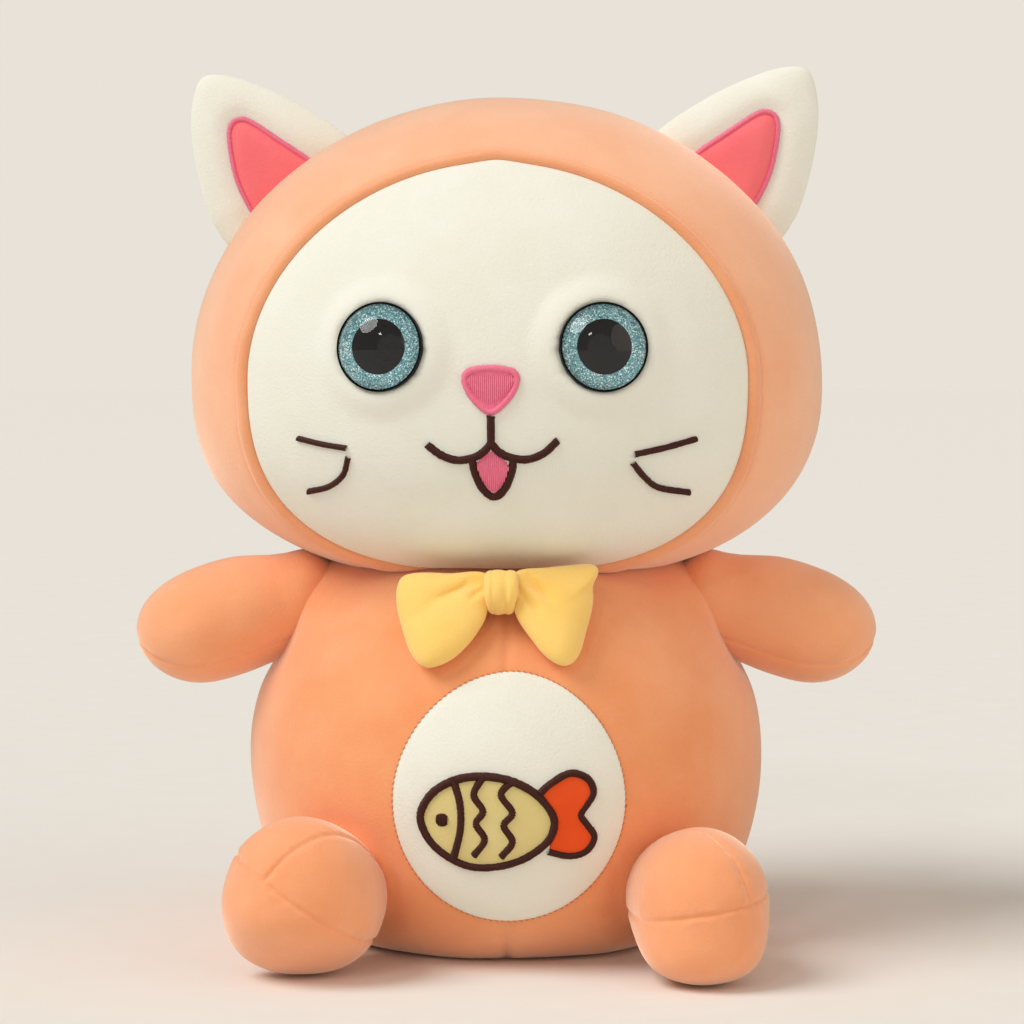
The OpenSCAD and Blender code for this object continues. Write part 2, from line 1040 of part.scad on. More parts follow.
// Arms, each an upper and a lower panel over one stuffing. Past its ball, an arm is cut by the
// plane that touches the body under the shoulder.
module past_ball(o) {
  touch = shoulder_height - shoulder_stand;
  slope = body_slope(touch);
  difference() {
    rotate([0, 0, -arm_forward])
      translate([body_radius(touch), 0, touch])
        rotate([0, -asin(slope[1]), 0])
          translate([joint_gap - o - reach_all, -reach_all / 2, -reach_all / 2])
            cube(reach_all);
    at_left_arm()
      ball_form(arm_root + joint_gap / 2 + o);
  }
}

module left_arm_core(o) {
  difference() {
    at_left_arm()
      arm_form(o);
    past_ball(o);
  }
}

module left_arm_panel(turn) {
  color(peach)
    difference() {
      intersection() {
        left_arm_core(0);
        at_left_arm()
          rotate([arm_seam + turn, 0, 0])
            translate([-reach_all, -reach_all, seat_gap / 2])
              cube(2 * reach_all);
      }
      left_arm_core(-cover);
    }
}

module left_arm_fill() {
  color(fill_white)
    left_arm_core(-cover - seat_gap);
}

module left_arm_upper() {
  left_arm_panel(0);
}

module left_arm_lower() {
  left_arm_panel(180);
}

module left_arm_stuffing() {
  left_arm_fill();
}

module right_arm_upper() {
  on_right()
    left_arm_panel(0);
}

module right_arm_lower() {
  on_right()
    left_arm_panel(180);
}

module right_arm_stuffing() {
  on_right()
    left_arm_fill();
}

// Legs, each with two upper panels and a sole, which meet in a T on the foot.
module leg_cover() {
  difference() {
    leg_form(0);
    leg_form(-cover);
  }
}

// Frame of the seams on a foot, about the point where they meet.
module at_seams(roll) {
  translate([leg_length, 0, 0])
    rotate([roll, -toe_up, toe_out])
      children();
}

module leg_upper(s, roll) {
  intersection() {
    leg_cover();
    at_seams(roll)
      translate([-reach_all, s > 0 ? seat_gap / 2 : -seat_gap / 2 - 2 * reach_all, seat_gap / 2])
        cube(2 * reach_all);
  }
}

module leg_sole(roll) {
  intersection() {
    leg_cover();
    at_seams(roll)
      translate([-reach_all, -reach_all, -seat_gap / 2 - 2 * reach_all])
        cube(2 * reach_all);
  }
}

module left_leg_inner() {
  color(peach)
    at_left_leg()
      leg_upper(-1, 0);
}

module left_leg_outer() {
  color(peach)
    at_left_leg()
      leg_upper(1, 0);
}

module left_leg_sole() {
  color(peach_dark)
    at_left_leg()
      leg_sole(0);
}

module left_leg_stuffing() {
  color(fill_white)
    at_left_leg()
      leg_form(-cover - seat_gap);
}

module right_leg_inner() {
  color(peach)
    on_right()
      at_left_leg()
        leg_upper(-1, right_leg_roll);
}

module right_leg_outer() {
  color(peach)
    on_right()
      at_left_leg()
        leg_upper(1, right_leg_roll);
}

module right_leg_sole() {
  color(peach_dark)
    on_right()
      at_left_leg()
        leg_sole(right_leg_roll);
}

module right_leg_stuffing() {
  color(fill_white)
    on_right()
      at_left_leg()
        leg_form(-cover - seat_gap);
}

base_panel();
body_left_panel();
body_right_panel();
body_stuffing();
belly_patch();
fish_body();
fish_tail();
fish_stitching();
tail_stitching();
fish_eye();
bow_left_loop();
bow_right_loop();
bow_band();
as_set() hood();
as_set() hood_facing();
as_set() face_panel();
as_set() head_stuffing();
as_set() nose();
as_set() mouth();
as_set() tongue();
as_set() left_whisker_upper();
as_set() left_whisker_lower();
as_set() right_whisker_upper();
as_set() right_whisker_lower();
as_set() left_eye_back();
as_set() left_eye_iris();
as_set() left_eye_pupil();
as_set() left_eye_lens();
as_set() left_eye_washer();
as_set() right_eye_back();
as_set() right_eye_iris();
as_set() right_eye_pupil();
as_set() right_eye_lens();
as_set() right_eye_washer();
as_set() left_ear();
as_set() left_ear_lining();
as_set() right_ear();
as_set() right_ear_lining();
left_arm_upper();
left_arm_lower();
left_arm_stuffing();
right_arm_upper();
right_arm_lower();
right_arm_stuffing();
left_leg_inner();
left_leg_outer();
left_leg_sole();
left_leg_stuffing();
right_leg_inner();
right_leg_outer();
right_leg_sole();
right_leg_stuffing();
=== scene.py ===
"""Seated plush cat in a hooded suit: velvet covers, embroidery, safety eyes and a bow tie."""

import math

import bmesh
import bpy
from mathutils import Matrix, Vector, noise


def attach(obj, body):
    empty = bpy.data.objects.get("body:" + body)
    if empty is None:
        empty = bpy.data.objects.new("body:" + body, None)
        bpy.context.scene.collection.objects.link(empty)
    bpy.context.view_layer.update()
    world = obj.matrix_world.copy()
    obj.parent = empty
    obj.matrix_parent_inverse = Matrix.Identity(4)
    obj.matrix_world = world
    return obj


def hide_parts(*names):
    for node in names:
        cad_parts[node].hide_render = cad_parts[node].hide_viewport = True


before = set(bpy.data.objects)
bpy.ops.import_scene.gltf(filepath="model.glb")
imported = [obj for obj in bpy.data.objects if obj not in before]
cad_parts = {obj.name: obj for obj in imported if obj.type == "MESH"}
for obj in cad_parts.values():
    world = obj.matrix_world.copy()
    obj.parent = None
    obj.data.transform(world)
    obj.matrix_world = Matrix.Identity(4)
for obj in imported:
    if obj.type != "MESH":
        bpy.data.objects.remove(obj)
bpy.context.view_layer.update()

# Lengths are millimetres in the frame of the solids, until a piece is finished in metres.
MM = 0.001

# Sizes of the sewn forms, as in the solids.
HEAD_Z = 226.0
HEAD_SET = math.radians(3.5)
HEAD_HALF, HEAD_DEEP = 127.5, 97.5
CROWN, CHIN = 112.0, 83.0
FACE_HALF, FACE_ABOVE, FACE_BELOW = 97.0, 83.0, 76.3
BELLY_R, BELLY_Z, BODY_TOP, BASE_R = 104.0, 74.0, 166.0, 60.0
SHOULDER_Z, SHOULDER_STAND = 134.0, 12.0
ARM_SLOPE, ARM_FORWARD, ARM_SEAM = math.radians(12), math.radians(6), math.radians(38)
ARM_ROOT, ARM_R, ARM_REACH, ARM_TIP = 20.5, 24.5, 32.0, 29.0
LEG_ROUND, LEG_SPLAY, LEG_PLACE, LEG_LONG = math.radians(42), math.radians(15), 98.0, 30.0
LEG_ROOT, FOOT_R, FOOT_Z = 24.0, 28.5, 29.0
# Turns of the seams on each foot: outwards, upwards and about the leg.
FOOT_TURNS = {"left": (18, 7, 8), "right": (20, 22, 27)}
EAR_LONG, EAR_WIDE, EAR_THICK = 54.0, 67.0, 20.0
EAR_LEAN, EAR_PLACE = math.radians(32), math.radians(46)
PATCH_X, PATCH_MIDDLE, PATCH_LEAN = 1.0, 67.0, math.radians(-3.5)
PATCH_HALF, PATCH_ABOVE, PATCH_BELOW = 44.0, 48.5, 47.0
# Half sizes of the even ground under the patch.
GROUND_HALF, GROUND_TALL = 44.0, 48.0
EYE_X, EYE_Z = 42.0, 12.0
BOW_X, BOW_Z, BOW_Y = -2.0, 144.8, -83.0
KNOT_HALF, KNOT_DEEP, KNOT_TALL = 6.6, 9.2, 8.6
# Half the thickness of the loops at the knot and further out.
LOOP_NEAR, LOOP_FAR = 6.0, 9.4
# How far the body rises to meet each arm.
SHOULDER_RISE = 12.0


def mixed(a, b, k):
    return a + (b - a) * k


def eased(k):
    k = min(1.0, max(0.0, k))
    return k * k * (3 - 2 * k)


def patchy(p, size):
    """Smooth noise from -1 to 1 with features of about that size."""
    return noise.noise(Vector(p) / size)


# Surfaces that pieces lie on. Each gives a point at a height over the form.

def head_at(d, lift=0.0):
    """Point of the head's bun form along a direction. The chin bulges where it sits on the body."""
    n, h = (2.0, CROWN) if d.z >= 0 else (2.5, CHIN)
    q = math.hypot(d.x / HEAD_HALF, d.y / HEAD_DEEP)
    s = (q ** n + abs(d.z / h) ** n) ** (-1 / n)
    p, q = d * s, max(q * s, 1e-6)
    up = Vector((q ** (n - 2) * p.x / HEAD_HALF ** 2, q ** (n - 2) * p.y / HEAD_DEEP ** 2,
                 math.copysign(abs(p.z / h) ** (n - 1) / h, p.z)))
    chin = 6.0 * eased((-p.z - 42) / 30) * math.exp(-((p.x / 70) ** 2)) * eased(-p.y / 20)
    p = p + up.normalized() * lift + Vector((0, -chin, HEAD_Z))
    p.z = max(p.z, crown_at(p) + 0.6)
    return p


def crown_at(p):
    """Height of the body's crown under a point."""
    return BELLY_Z + (BODY_TOP - BELLY_Z) * math.sqrt(max(0.0, 1 - (p.x ** 2 + p.y ** 2) / BELLY_R ** 2))


def face_direction(x, z):
    """Direction from the head's middle to its front at x, z from the middle."""
    n, h = (2.0, CROWN) if z >= 0 else (2.5, CHIN)
    across = max(0.0, 1 - abs(z / h) ** n) ** (1 / n)
    return Vector((x, -HEAD_DEEP * math.sqrt(max(0.0, across ** 2 - (x / HEAD_HALF) ** 2)), z))


def face_at(x, z, lift=0.0):
    return head_at(face_direction(x, z), lift - 0.8)


def face_radius(a, o=0.0):
    """Distance from the face's middle to its outline in direction a, with the small peak of the brow."""
    c, s = math.cos(a), math.sin(a)
    n, h = (1.9, FACE_ABOVE) if s >= 0 else (2.65, FACE_BELOW)
    r = (abs(c / FACE_HALF) ** n + abs(s / h) ** n) ** (-1 / n)
    peak = 1.1 * max(0.0, 1 - abs(r * c) / 13) ** 1.3 if s > 0 else 0.0
    return r + peak + o


def rim_edges(a):
    """Inner and outer edge of the hood's rolled rim from the face's outline in direction a."""
    side = math.cos(a) ** 2
    return 0.9, mixed(3.7 if a > 0 else 4.3, 5.2, side)


def body_radius(z):
    if z >= BELLY_Z:
        return BELLY_R * math.sqrt(max(0.0, 1 - ((z - BELLY_Z) / (BODY_TOP - BELLY_Z)) ** 2))
    return BASE_R + (BELLY_R - BASE_R) * math.sqrt(max(0.0, 1 - ((BELLY_Z - z) / BELLY_Z) ** 2))


def belly_at(x, z, lift=0.0):
    r = body_radius(z)
    slope = body_radius(z - 0.5) - body_radius(z + 0.5)
    y = -math.sqrt(max(1.0, r * r - x * x))
    up = Vector((x / r, y / r, slope)).normalized()
    return Vector((x, y, z)) + up * lift


def ear_half(k):
    return EAR_WIDE / 2 * max(0.0, 1 - max(0.0, k) ** 1.25) ** 0.66


EAR_BASE = Vector((HEAD_HALF * math.sin(EAR_PLACE), HEAD_Z + CROWN * math.cos(EAR_PLACE)))


def ear_place(across, along, y):
    """Point of the left ear from lengths across it and along it."""
    c, s = math.cos(EAR_LEAN), math.sin(EAR_LEAN)
    x = EAR_BASE.x + s * along + c * across
    z = EAR_BASE.y + c * along - s * across
    return Vector((x, y, z))


def ear_bow(along):
    return EAR_LONG * (along / EAR_LONG - 0.5) * 0.09 + 1.5


def ear_at(across, along, lift=0.0):
    k = along / EAR_LONG
    half = max(1.0, ear_half(k))
    out = max(0.0, 1 - ((across - ear_bow(along)) / half) ** 2) ** 0.5
    return ear_place(across, along, -EAR_THICK / 2 * math.sqrt(max(0.0, 1 - max(0.0, k) ** 2)) * out - lift)


def arm_frame():
    return (Matrix.Rotation(-ARM_FORWARD, 4, "Z")
            @ Matrix.Translation((body_radius(SHOULDER_Z) + SHOULDER_STAND, 0, SHOULDER_Z))
            @ Matrix.Rotation(ARM_SLOPE, 4, "Y"))


def leg_frame():
    return (Matrix.Rotation(LEG_ROUND - math.pi / 2, 4, "Z") @ Matrix.Translation((LEG_PLACE, 0, FOOT_Z))
            @ Matrix.Rotation(LEG_SPLAY - LEG_ROUND, 4, "Z"))


# Making of pieces.

def globe(around, along, place, keep=None):
    """Sphere whose points go to place(t, a), t from pole to pole and a round it, where keep(t)."""
    bm = bmesh.new()
    bmesh.ops.create_uvsphere(bm, u_segments=around, v_segments=along, radius=1.0)
    spots = {v: (math.acos(max(-1.0, min(1.0, v.co.z))) / math.pi, math.atan2(v.co.y, v.co.x))
             for v in bm.verts}
    if keep:
        bmesh.ops.delete(bm, geom=[v for v, spot in spots.items() if not keep(spot[0])], context="VERTS")
    for v in bm.verts:
        v.co = place(*spots[v])
    return outwards(bm)


def outwards(bm):
    """Turns all faces away from the middle of the form."""
    bmesh.ops.recalc_face_normals(bm, faces=bm.faces)
    middle = sum((v.co for v in bm.verts), Vector()) / len(bm.verts)
    if sum(f.normal.dot(f.calc_center_median() - middle) * f.calc_area() for f in bm.faces) < 0:
        bmesh.ops.reverse_faces(bm, faces=bm.faces)
    return bm


def pushed(bm, amount):
    """Moves each point along its normal."""
    bm.normal_update()
    moves = [(v, v.normal * amount(v.co)) for v in bm.verts]
    for v, move in moves:
        v.co += move


def flipped(bm):
    """The same form on the toy's right."""
    bmesh.ops.scale(bm, vec=(-1, 1, 1), verts=bm.verts)
    bmesh.ops.reverse_faces(bm, faces=bm.faces)
    return bm


def piece(name, bm, body, material, nodes=(), held=None, swell=None, levels=1):
    """Finishes a form as an object in metres. held(co) names the sewn points, and swell runs the filling."""
    pins = [i for i, v in enumerate(bm.verts) if held and held(v.co)]
    if body == "head":
        bmesh.ops.rotate(bm, verts=bm.verts, cent=(0, 0, 0), matrix=Matrix.Rotation(-HEAD_SET, 3, "Z"))
    bmesh.ops.scale(bm, vec=(MM, MM, MM), verts=bm.verts)
    for f in bm.faces:
        f.smooth = True
    mesh = bpy.data.meshes.new(name)
    bm.to_mesh(mesh)
    bm.free()
    o = bpy.data.objects.new(name, mesh)
    bpy.context.scene.collection.objects.link(o)
    mesh.materials.append(material)
    if swell:
        stuffed(o, pins, **swell)
    if levels:
        rounder = o.modifiers.new("rounder", "SUBSURF")
        rounder.levels = rounder.render_levels = levels
    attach(o, body)
    if nodes:
        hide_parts(*nodes)
    return o


def stuffed(o, pins, pressure=4.0, cap=2.0):
    """Fills a cover: cloth under pressure, held at its seams. Wadding evens the push, up to the cap."""
    rest = [v.co.copy() for v in o.data.vertices]
    o.vertex_groups.new(name="seams").add(pins, 1.0, "REPLACE")
    cloth = o.modifiers.new("filling", "CLOTH")
    s = cloth.settings
    s.quality = 6
    s.mass = 0.15
    s.tension_stiffness = s.compression_stiffness = 12
    s.shear_stiffness = 6
    s.bending_stiffness = 1.0
    s.use_pressure = True
    s.uniform_pressure_force = pressure
    s.vertex_group_mass = "seams"
    s.effector_weights.gravity = 0
    cloth.collision_settings.use_collision = False
    scene = bpy.context.scene
    for step in range(1, 21):
        scene.frame_set(step)
    swollen = o.evaluated_get(bpy.context.evaluated_depsgraph_get()).data
    moves = [v.co - a for v, a in zip(swollen.vertices, rest)]
    scene.frame_set(1)
    o.modifiers.remove(cloth)
    o.vertex_groups.clear()
    # Six passes even the moves out between neighbours.
    for _ in range(6):
        total, count = [m.copy() for m in moves], [1] * len(moves)
        for e in o.data.edges:
            i, j = e.vertices
            total[i] += moves[j]
            total[j] += moves[i]
            count[i] += 1
            count[j] += 1
        moves = [t / n for t, n in zip(total, count)]
        for i in pins:
            moves[i] = Vector()
    for v, a, move in zip(o.data.vertices, rest, moves):
        v.co = a + move * min(1.0, cap * MM / max(move.length, 1e-9))
    o.data.update()


def groove(d, wide=1.7, deep=1.5):
    """Depth of a seam at a distance from it."""
    return -deep * math.exp(-((d / wide) ** 2))


def sewn(p, d):
    """A limb's seam at a distance d from it, with the puckers that its thread draws beside it."""
    return groove(d, 0.95, 1.0) + 0.35 * patchy(p, 3.2) * math.exp(-((d / 4.5) ** 2))


# Body.

def body_place(t, a):
    a = a - 0.5 * math.sin(2 * a) / 2
    if t <= 0.5:
        s = math.pi / 2 * (1 - 2 * t)
        r, z = BELLY_R * math.cos(s), BELLY_Z + (BODY_TOP - BELLY_Z) * math.sin(s)
    elif t <= 0.82:
        s = math.pi / 2 * (t - 0.5) / 0.32
        r, z = BASE_R + (BELLY_R - BASE_R) * math.cos(s), BELLY_Z * (1 - math.sin(s))
    else:
        r, z = BASE_R * (1 - t) / 0.18, 0.0
    return Vector((r * math.sin(a), -r * math.cos(a), z))


def capsule_distance(p, a, b, ra, rb):
    """Distance of p from a tapering round limb between two points."""
    ab = b - a
    k = min(1.0, max(0.0, (p - a).dot(ab) / ab.length_squared))
    return (p - a - ab * k).length - mixed(ra, rb, math.sin(math.pi / 2 * k))


def limb_distance(p):
    p = Vector((abs(p.x), p.y, p.z))
    arm, leg = arm_frame(), leg_frame()
    to_arm = capsule_distance(p, arm.translation, arm @ Vector((ARM_REACH, 0, 0)), ARM_ROOT, ARM_R)
    to_leg = capsule_distance(p, leg.translation, leg @ Vector((LEG_LONG, 0, 0)), LEG_ROOT, FOOT_R)
    return min(to_arm, to_leg)


def from_patch(p):
    """Nearness to the patch: 1 on its outline, less inside it."""
    if p.y >= 0:
        return 9.0
    return math.hypot((p.x - PATCH_X) / GROUND_HALF, (p.z - PATCH_MIDDLE) / GROUND_TALL)


def body_dents(p):
    if p.z < 0.5:
        return 0.0
    near = limb_distance(p)
    tuck = -2.2 * max(0.0, 1 - abs(near) / 9) ** 2
    near_arm = math.exp(-((abs(p.x) - 73) / 15) ** 2 - (p.y / 34) ** 2)
    shoulder = SHOULDER_RISE * near_arm * eased((p.z - 108) / 26)
    calm = eased((from_patch(p) - 1.05) / 0.3)
    uneven = 0.6 * patchy(p, 38) + 0.15 * patchy(p, 14)
    return tuck * (1 - shoulder / SHOULDER_RISE) + shoulder + groove(p.x) + calm * uneven


def make_body():
    bm = globe(160, 72, body_place)
    pushed(bm, body_dents)
    for v in bm.verts:
        v.co.z = max(v.co.z, 0.0)
    # The body's cover takes the copy of the peach velvet with painted shade: darker and more saturated.
    o = piece("body_cover", bm, "torso", PEACH_PAINTED_SHADE_BODY,
              ("body_left_panel", "body_right_panel", "base_panel", "body_stuffing"),
              held=lambda p: (abs(p.x) < 0.6 or p.z < 2.0 or p.z > 150 or limb_distance(p) < -2.0
                              or from_patch(p) < 1.08), swell=dict(cap=2.0))


# Head.

EYES = [face_direction(s * EYE_X, EYE_Z) for s in (-1, 1)]


def eye_seat(x, z, lift):
    """Fabric drawn flat under an eye's plate and rising a little at its rim."""
    for d in EYES:
        mid = head_at(d)
        up = (head_at(d, 1.0) - mid).normalized()
        p = face_at(x, z, lift)
        away = p - mid
        level = away.dot(up)
        r = (away - up * level).length
        if r < 30:
            want = mixed(-1.9, 0.7, eased((r - 15.7) / 1.5))
            p += up * (want - level) * (1 - eased((r - 18) / 11))
            return p
    return None


def face_place(t, a):
    k = min(1.0, 2 * t)
    out = face_radius(a, 2.4) * (1 - (1 - k) ** 1.25)
    x, z = out * math.cos(a), out * math.sin(a)
    edge = (1 - k) * face_radius(a)
    lift = -3.8 * max(0.0, 1 - edge / 4.0) ** 2 + 0.5 * patchy((x, 0, z), 42) * eased(edge / 25)
    return eye_seat(x, z, lift) or face_at(x, z, lift)


def hood_place(t, a):
    k = max(0.0, 2 * t - 1)
    start = face_radius(a, rim_edges(a)[1] - 1.0)
    d = face_direction(start * math.cos(a), start * math.sin(a))
    from_front = math.atan2(start, -d.y)
    s = mixed(from_front, math.pi, k ** 1.35)
    d = Vector((math.sin(s) * math.cos(a), -math.cos(s), math.sin(s) * math.sin(a)))
    p = head_at(d)
    away = (s - from_front) * 110
    lift = -1.9 * max(0.0, 1 - away / 3.4) ** 1.5
    fold = patchy((math.cos(a) * 60, math.sin(a) * 60, 0), 9)
    lift += fold * 0.35 * math.exp(-away / 9) * eased(away / 4)
    lift += 0.9 * patchy(p, 46) * eased(away / 20)
    return head_at(d, lift)


def make_head():
    # The hood's cover takes the copy of the peach velvet with painted light: paler.
    hood = piece("hood_cover", globe(160, 108, hood_place, lambda t: t > 0.499), "head",
                 PEACH_PAINTED_LIT_HOOD, ("hood", "head_stuffing"), held=hood_held, swell=dict(cap=1.5))
    face = piece("face_cover", globe(160, 72, face_place, lambda t: t < 0.501), "head", WHITE,
                 ("face_panel",))


def hood_held(p):
    """Edge of the opening, and the part that sits on the body's crown."""
    x, z = p.x, p.z - HEAD_Z
    a = math.atan2(z, x)
    near = math.hypot(x, z) - face_radius(a, rim_edges(a)[1])
    return (p.y < 0 and near < 1.0) or p.z < crown_at(p) + 2


def make_facing():
    """Rolled edge of the hood round the face, from a ring swept along the outline."""
    bm = bmesh.new()
    rim = bmesh.ops.create_circle(bm, radius=1.0, segments=14)["verts"]
    bmesh.ops.rotate(bm, verts=rim, cent=(0, 0, 0), matrix=Matrix.Rotation(math.pi / 2, 3, "X"))
    bmesh.ops.translate(bm, verts=rim, vec=(10, 0, 0))
    bmesh.ops.spin(bm, geom=bm.verts[:] + bm.edges[:], cent=(0, 0, 0), axis=(0, 0, 1),
                   angle=2 * math.pi, steps=220, use_merge=True)
    bmesh.ops.remove_doubles(bm, verts=bm.verts, dist=1e-4)
    for v in bm.verts:
        a = math.atan2(v.co.y, v.co.x)
        out, up = math.hypot(v.co.x, v.co.y) - 10, v.co.z
        inner, outer = rim_edges(a)
        r = face_radius(a, mixed(inner, outer, 0.5 + out / 2))
        wave = 0.2 * patchy((math.cos(a) * 70, math.sin(a) * 70, 0), 8)
        v.co = head_at(face_direction(r * math.cos(a), r * math.sin(a)), -1.2 + 2.5 * up + wave)
    bmesh.ops.recalc_face_normals(bm, faces=bm.faces)
    # The rim takes the copy of the peach velvet with painted light: paler.
    o = piece("hood_rim", bm, "head", PEACH_PAINTED_LIT_RIM, ("hood_facing",))


# Ears.

LINING = [(-17.5, -5), (-14, 4), (-8.5, 16), (-4.6, 24.6), (-1.5, 29.2), (2.4, 30.4), (5.6, 28.4), (8, 24.5),
          (10.6, 18.6), (12.8, 12.6), (14.3, 6), (15, -1.4), (15, -8), (0, -8)]


def inside(line, u, v):
    """Whether a point is within a closed line."""
    hits = [a.x + (b.x - a.x) * (v - a.y) / (b.y - a.y) > u
            for a, b in zip(line, line[1:]) if (a.y > v) != (b.y > v)]
    return sum(hits) % 2 == 1


def ear_dent(across, along):
    """Dimple that the stitching of the lining draws into the ear."""
    d = distance_to(LINING_LINE, across, along)
    if inside(LINING_LINE, across, along):
        return -0.6 - 1.6 * math.exp(-((d / 3.0) ** 2))
    return -2.2 * math.exp(-((d / 4.5) ** 2))


def ear_front(across, along, lift=0.0):
    return ear_at(across, along, lift + ear_dent(across, along))


def ear_form(t, a):
    """Padded ear from its tip, at t = 0, to its root inside the hood."""
    k = mixed(1.0, -0.5, t ** 1.15)
    along, root = k * EAR_LONG, 1 - eased((t - 0.9) / 0.1)
    across = ear_half(k) * math.cos(a) * root + ear_bow(along)
    deep = EAR_THICK / 2 * math.sqrt(max(0.0, 1 - max(0.0, k) ** 2)) * root
    return ear_place(across, along, -deep * math.sin(a))


def ear_local(p):
    c, s = math.cos(EAR_LEAN), math.sin(EAR_LEAN)
    x, z = p.x - EAR_BASE.x, p.z - EAR_BASE.y
    return c * x - s * z, s * x + c * z


# The left ear stands a little higher and nearer the middle.
EAR_SHIFT = {"left": Vector((-2.6, 0.0, 2.2)), "right": Vector((0.0, 0.0, 0.0))}


def make_ear(side):
    def placed(bm):
        if side == "right":
            flipped(bm)
        bmesh.ops.translate(bm, vec=EAR_SHIFT[side], verts=bm.verts)
        return bm

    def dents(p):
        across, along = ear_local(p)
        k = along / EAR_LONG
        edge = groove(p.y, 1.2, 1.0) if k > -0.05 else 0.0
        if p.y < -1:
            edge += ear_dent(across, along)
        return edge + 0.35 * patchy(p, 17)

    bm = globe(72, 44, ear_form)
    pushed(bm, dents)

    def held(p):
        p = p - EAR_SHIFT[side]
        across, along = ear_local(Vector((abs(p.x), p.y, p.z)))
        lined = p.y < 0 and (inside(LINING_LINE, across, along)
                             or distance_to(LINING_LINE, across, along) < 2)
        return abs(p.y) < 0.8 or along < 0 or lined

    o = piece(f"{side}_ear_pad", placed(bm), "head", WHITE, (f"{side}_ear",), held=held,
              swell=dict(cap=2.0))
    bm = pad(LINING_LINE, ear_front, 0.9, 0.3)
    o = piece(f"{side}_ear_lining_cloth", placed(bm), "head", EAR_PINK,
              (f"{side}_ear_lining",))
    bm = bmesh.new()
    satin(bm, smooth_path(LINING[:-1], PITCH), WIDE["lining"],
          lambda u, v, h: ear_front(u, v, h + 0.5), 0.9)
    piece(f"{side}_ear_edging", placed(bm), "head", PINK_THREAD, levels=0)


# Arms and legs.

def arm_place(t, a):
    """Arm from its tip, at t = 0, to its root inside the body, turned so that a seam runs at a = 0."""
    a = a - 0.45 * math.sin(2 * a) / 2
    if t < 0.36:
        w = math.pi / 2 * t / 0.36
        s, r = ARM_REACH + ARM_TIP * math.cos(w), ARM_R * math.sin(w)
    elif t < 0.72:
        k = (0.72 - t) / 0.36
        s, r = ARM_REACH * k, mixed(ARM_ROOT, ARM_R, math.sin(math.pi / 2 * k))
    else:
        w = math.pi / 2 * (t - 0.72) / 0.28
        s, r = -26 * math.sin(w), ARM_ROOT * math.cos(w)
    turn = a - ARM_SEAM
    up = max(0.0, math.cos(turn))
    # The root is fuller on top under the head, and the tip is lower there.
    r += 4.0 * up * eased((-4 - s) / 14) * min(1.0, r / ARM_ROOT)
    r *= 1 - 0.15 * up * eased((s - 8) / 40)
    return Vector((s - 1.2 * eased((s - 40) / 20), -r * math.sin(turn), r * math.cos(turn)))


def make_arm(side):
    seam = Matrix.Rotation(ARM_SEAM, 4, "X")
    frame_in = arm_frame()

    def across(p):
        return (seam.inverted() @ frame_in.inverted() @ Vector((abs(p.x), p.y, p.z))).z

    def in_body(p):
        return (frame_in.inverted() @ Vector((abs(p.x), p.y, p.z))).x < 0

    bm = globe(96, 64, arm_place)
    bmesh.ops.transform(bm, matrix=frame_in, verts=bm.verts)
    pushed(bm, lambda p: sewn(p, across(p)) + 0.5 * patchy(p, 24) + 0.15 * patchy(p, 9))
    if side == "right":
        flipped(bm)
    # The arm's cover takes the copy of the peach velvet with painted light: paler.
    o = piece(f"{side}_arm_cover", bm, f"{side}_arm", PEACH_PAINTED_LIT_ARM,
              (f"{side}_arm_upper", f"{side}_arm_lower", f"{side}_arm_stuffing"),
              held=lambda p: abs(across(p)) < 0.6 or in_body(p), swell=dict(cap=1.5))


def foot_frame(side):
    """Frame of the seams on a foot, about the foot's middle."""
    out, up, roll = (math.radians(turn) for turn in FOOT_TURNS[side])
    return (leg_frame() @ Matrix.Translation((LEG_LONG, 0, 0)) @ Matrix.Rotation(out, 4, "Z")
            @ Matrix.Rotation(-up, 4, "Y") @ Matrix.Rotation(roll, 4, "X"))


def make_leg(side):
    seams_at, leg = foot_frame(side), leg_frame()
    root, foot = leg.translation, leg @ Vector((LEG_LONG, 0, 0))

    def place(t, a):
        """Along a ray from the foot's middle to the surface of the leg. Seams run at quarter turns."""
        a = a - 0.5 * math.sin(4 * a) / 4
        out = math.sin(math.pi * t)
        ray = seams_at.to_3x3() @ Vector((math.cos(math.pi * t), out * math.cos(a), out * math.sin(a)))
        near, far = 10.0, 80.0
        for _ in range(22):
            half = (near + far) / 2
            if capsule_distance(foot + ray * half, root, foot, LEG_ROOT - 4, FOOT_R) < 0:
                near = half
            else:
                far = half
        p = ray * near
        front = eased((24 - p.y) / 30)
        low = max(0.0, -p.z / FOOT_R)
        # Both feet are squarer low down. The left one's front reaches further forward, the right's is wider.
        if side == "left":
            p.x *= 1 - front * (0.12 - 0.34 * low * low)
            p.y -= front * mixed(5.0, 12.0, eased(-p.z / 26))
        else:
            p.x = p.x * (1 + front * (0.04 + 0.24 * low * low)) + 4.4 * front
            p.y += 8.0 * front * eased(-p.z / 26)
            p.z *= 1 + 0.16 * front * eased(p.z / 20)
        return foot + p

    def seam_distance(p):
        q = seams_at.inverted() @ Vector((abs(p.x), p.y, p.z))
        return min(abs(q.z), abs(q.y) if q.z > 0 else 99.0)

    def in_body(p):
        return (leg.inverted() @ Vector((abs(p.x), p.y, p.z))).x < 2

    bm = globe(128, 84, place)
    pushed(bm, lambda p: sewn(p, seam_distance(p)) + 0.4 * patchy(p, 24) + 0.12 * patchy(p, 9))
    for v in bm.verts:
        v.co.z = max(v.co.z, 0.4)
    if side == "right":
        flipped(bm)
    o = piece(f"{side}_leg_cover", bm, f"{side}_leg", PEACH,
              tuple(f"{side}_leg_{n}" for n in ("inner", "outer", "sole", "stuffing")),
              held=lambda p: seam_distance(p) < 0.6 or in_body(p), swell=dict(cap=1.2))


# Lines, appliques and stitches.

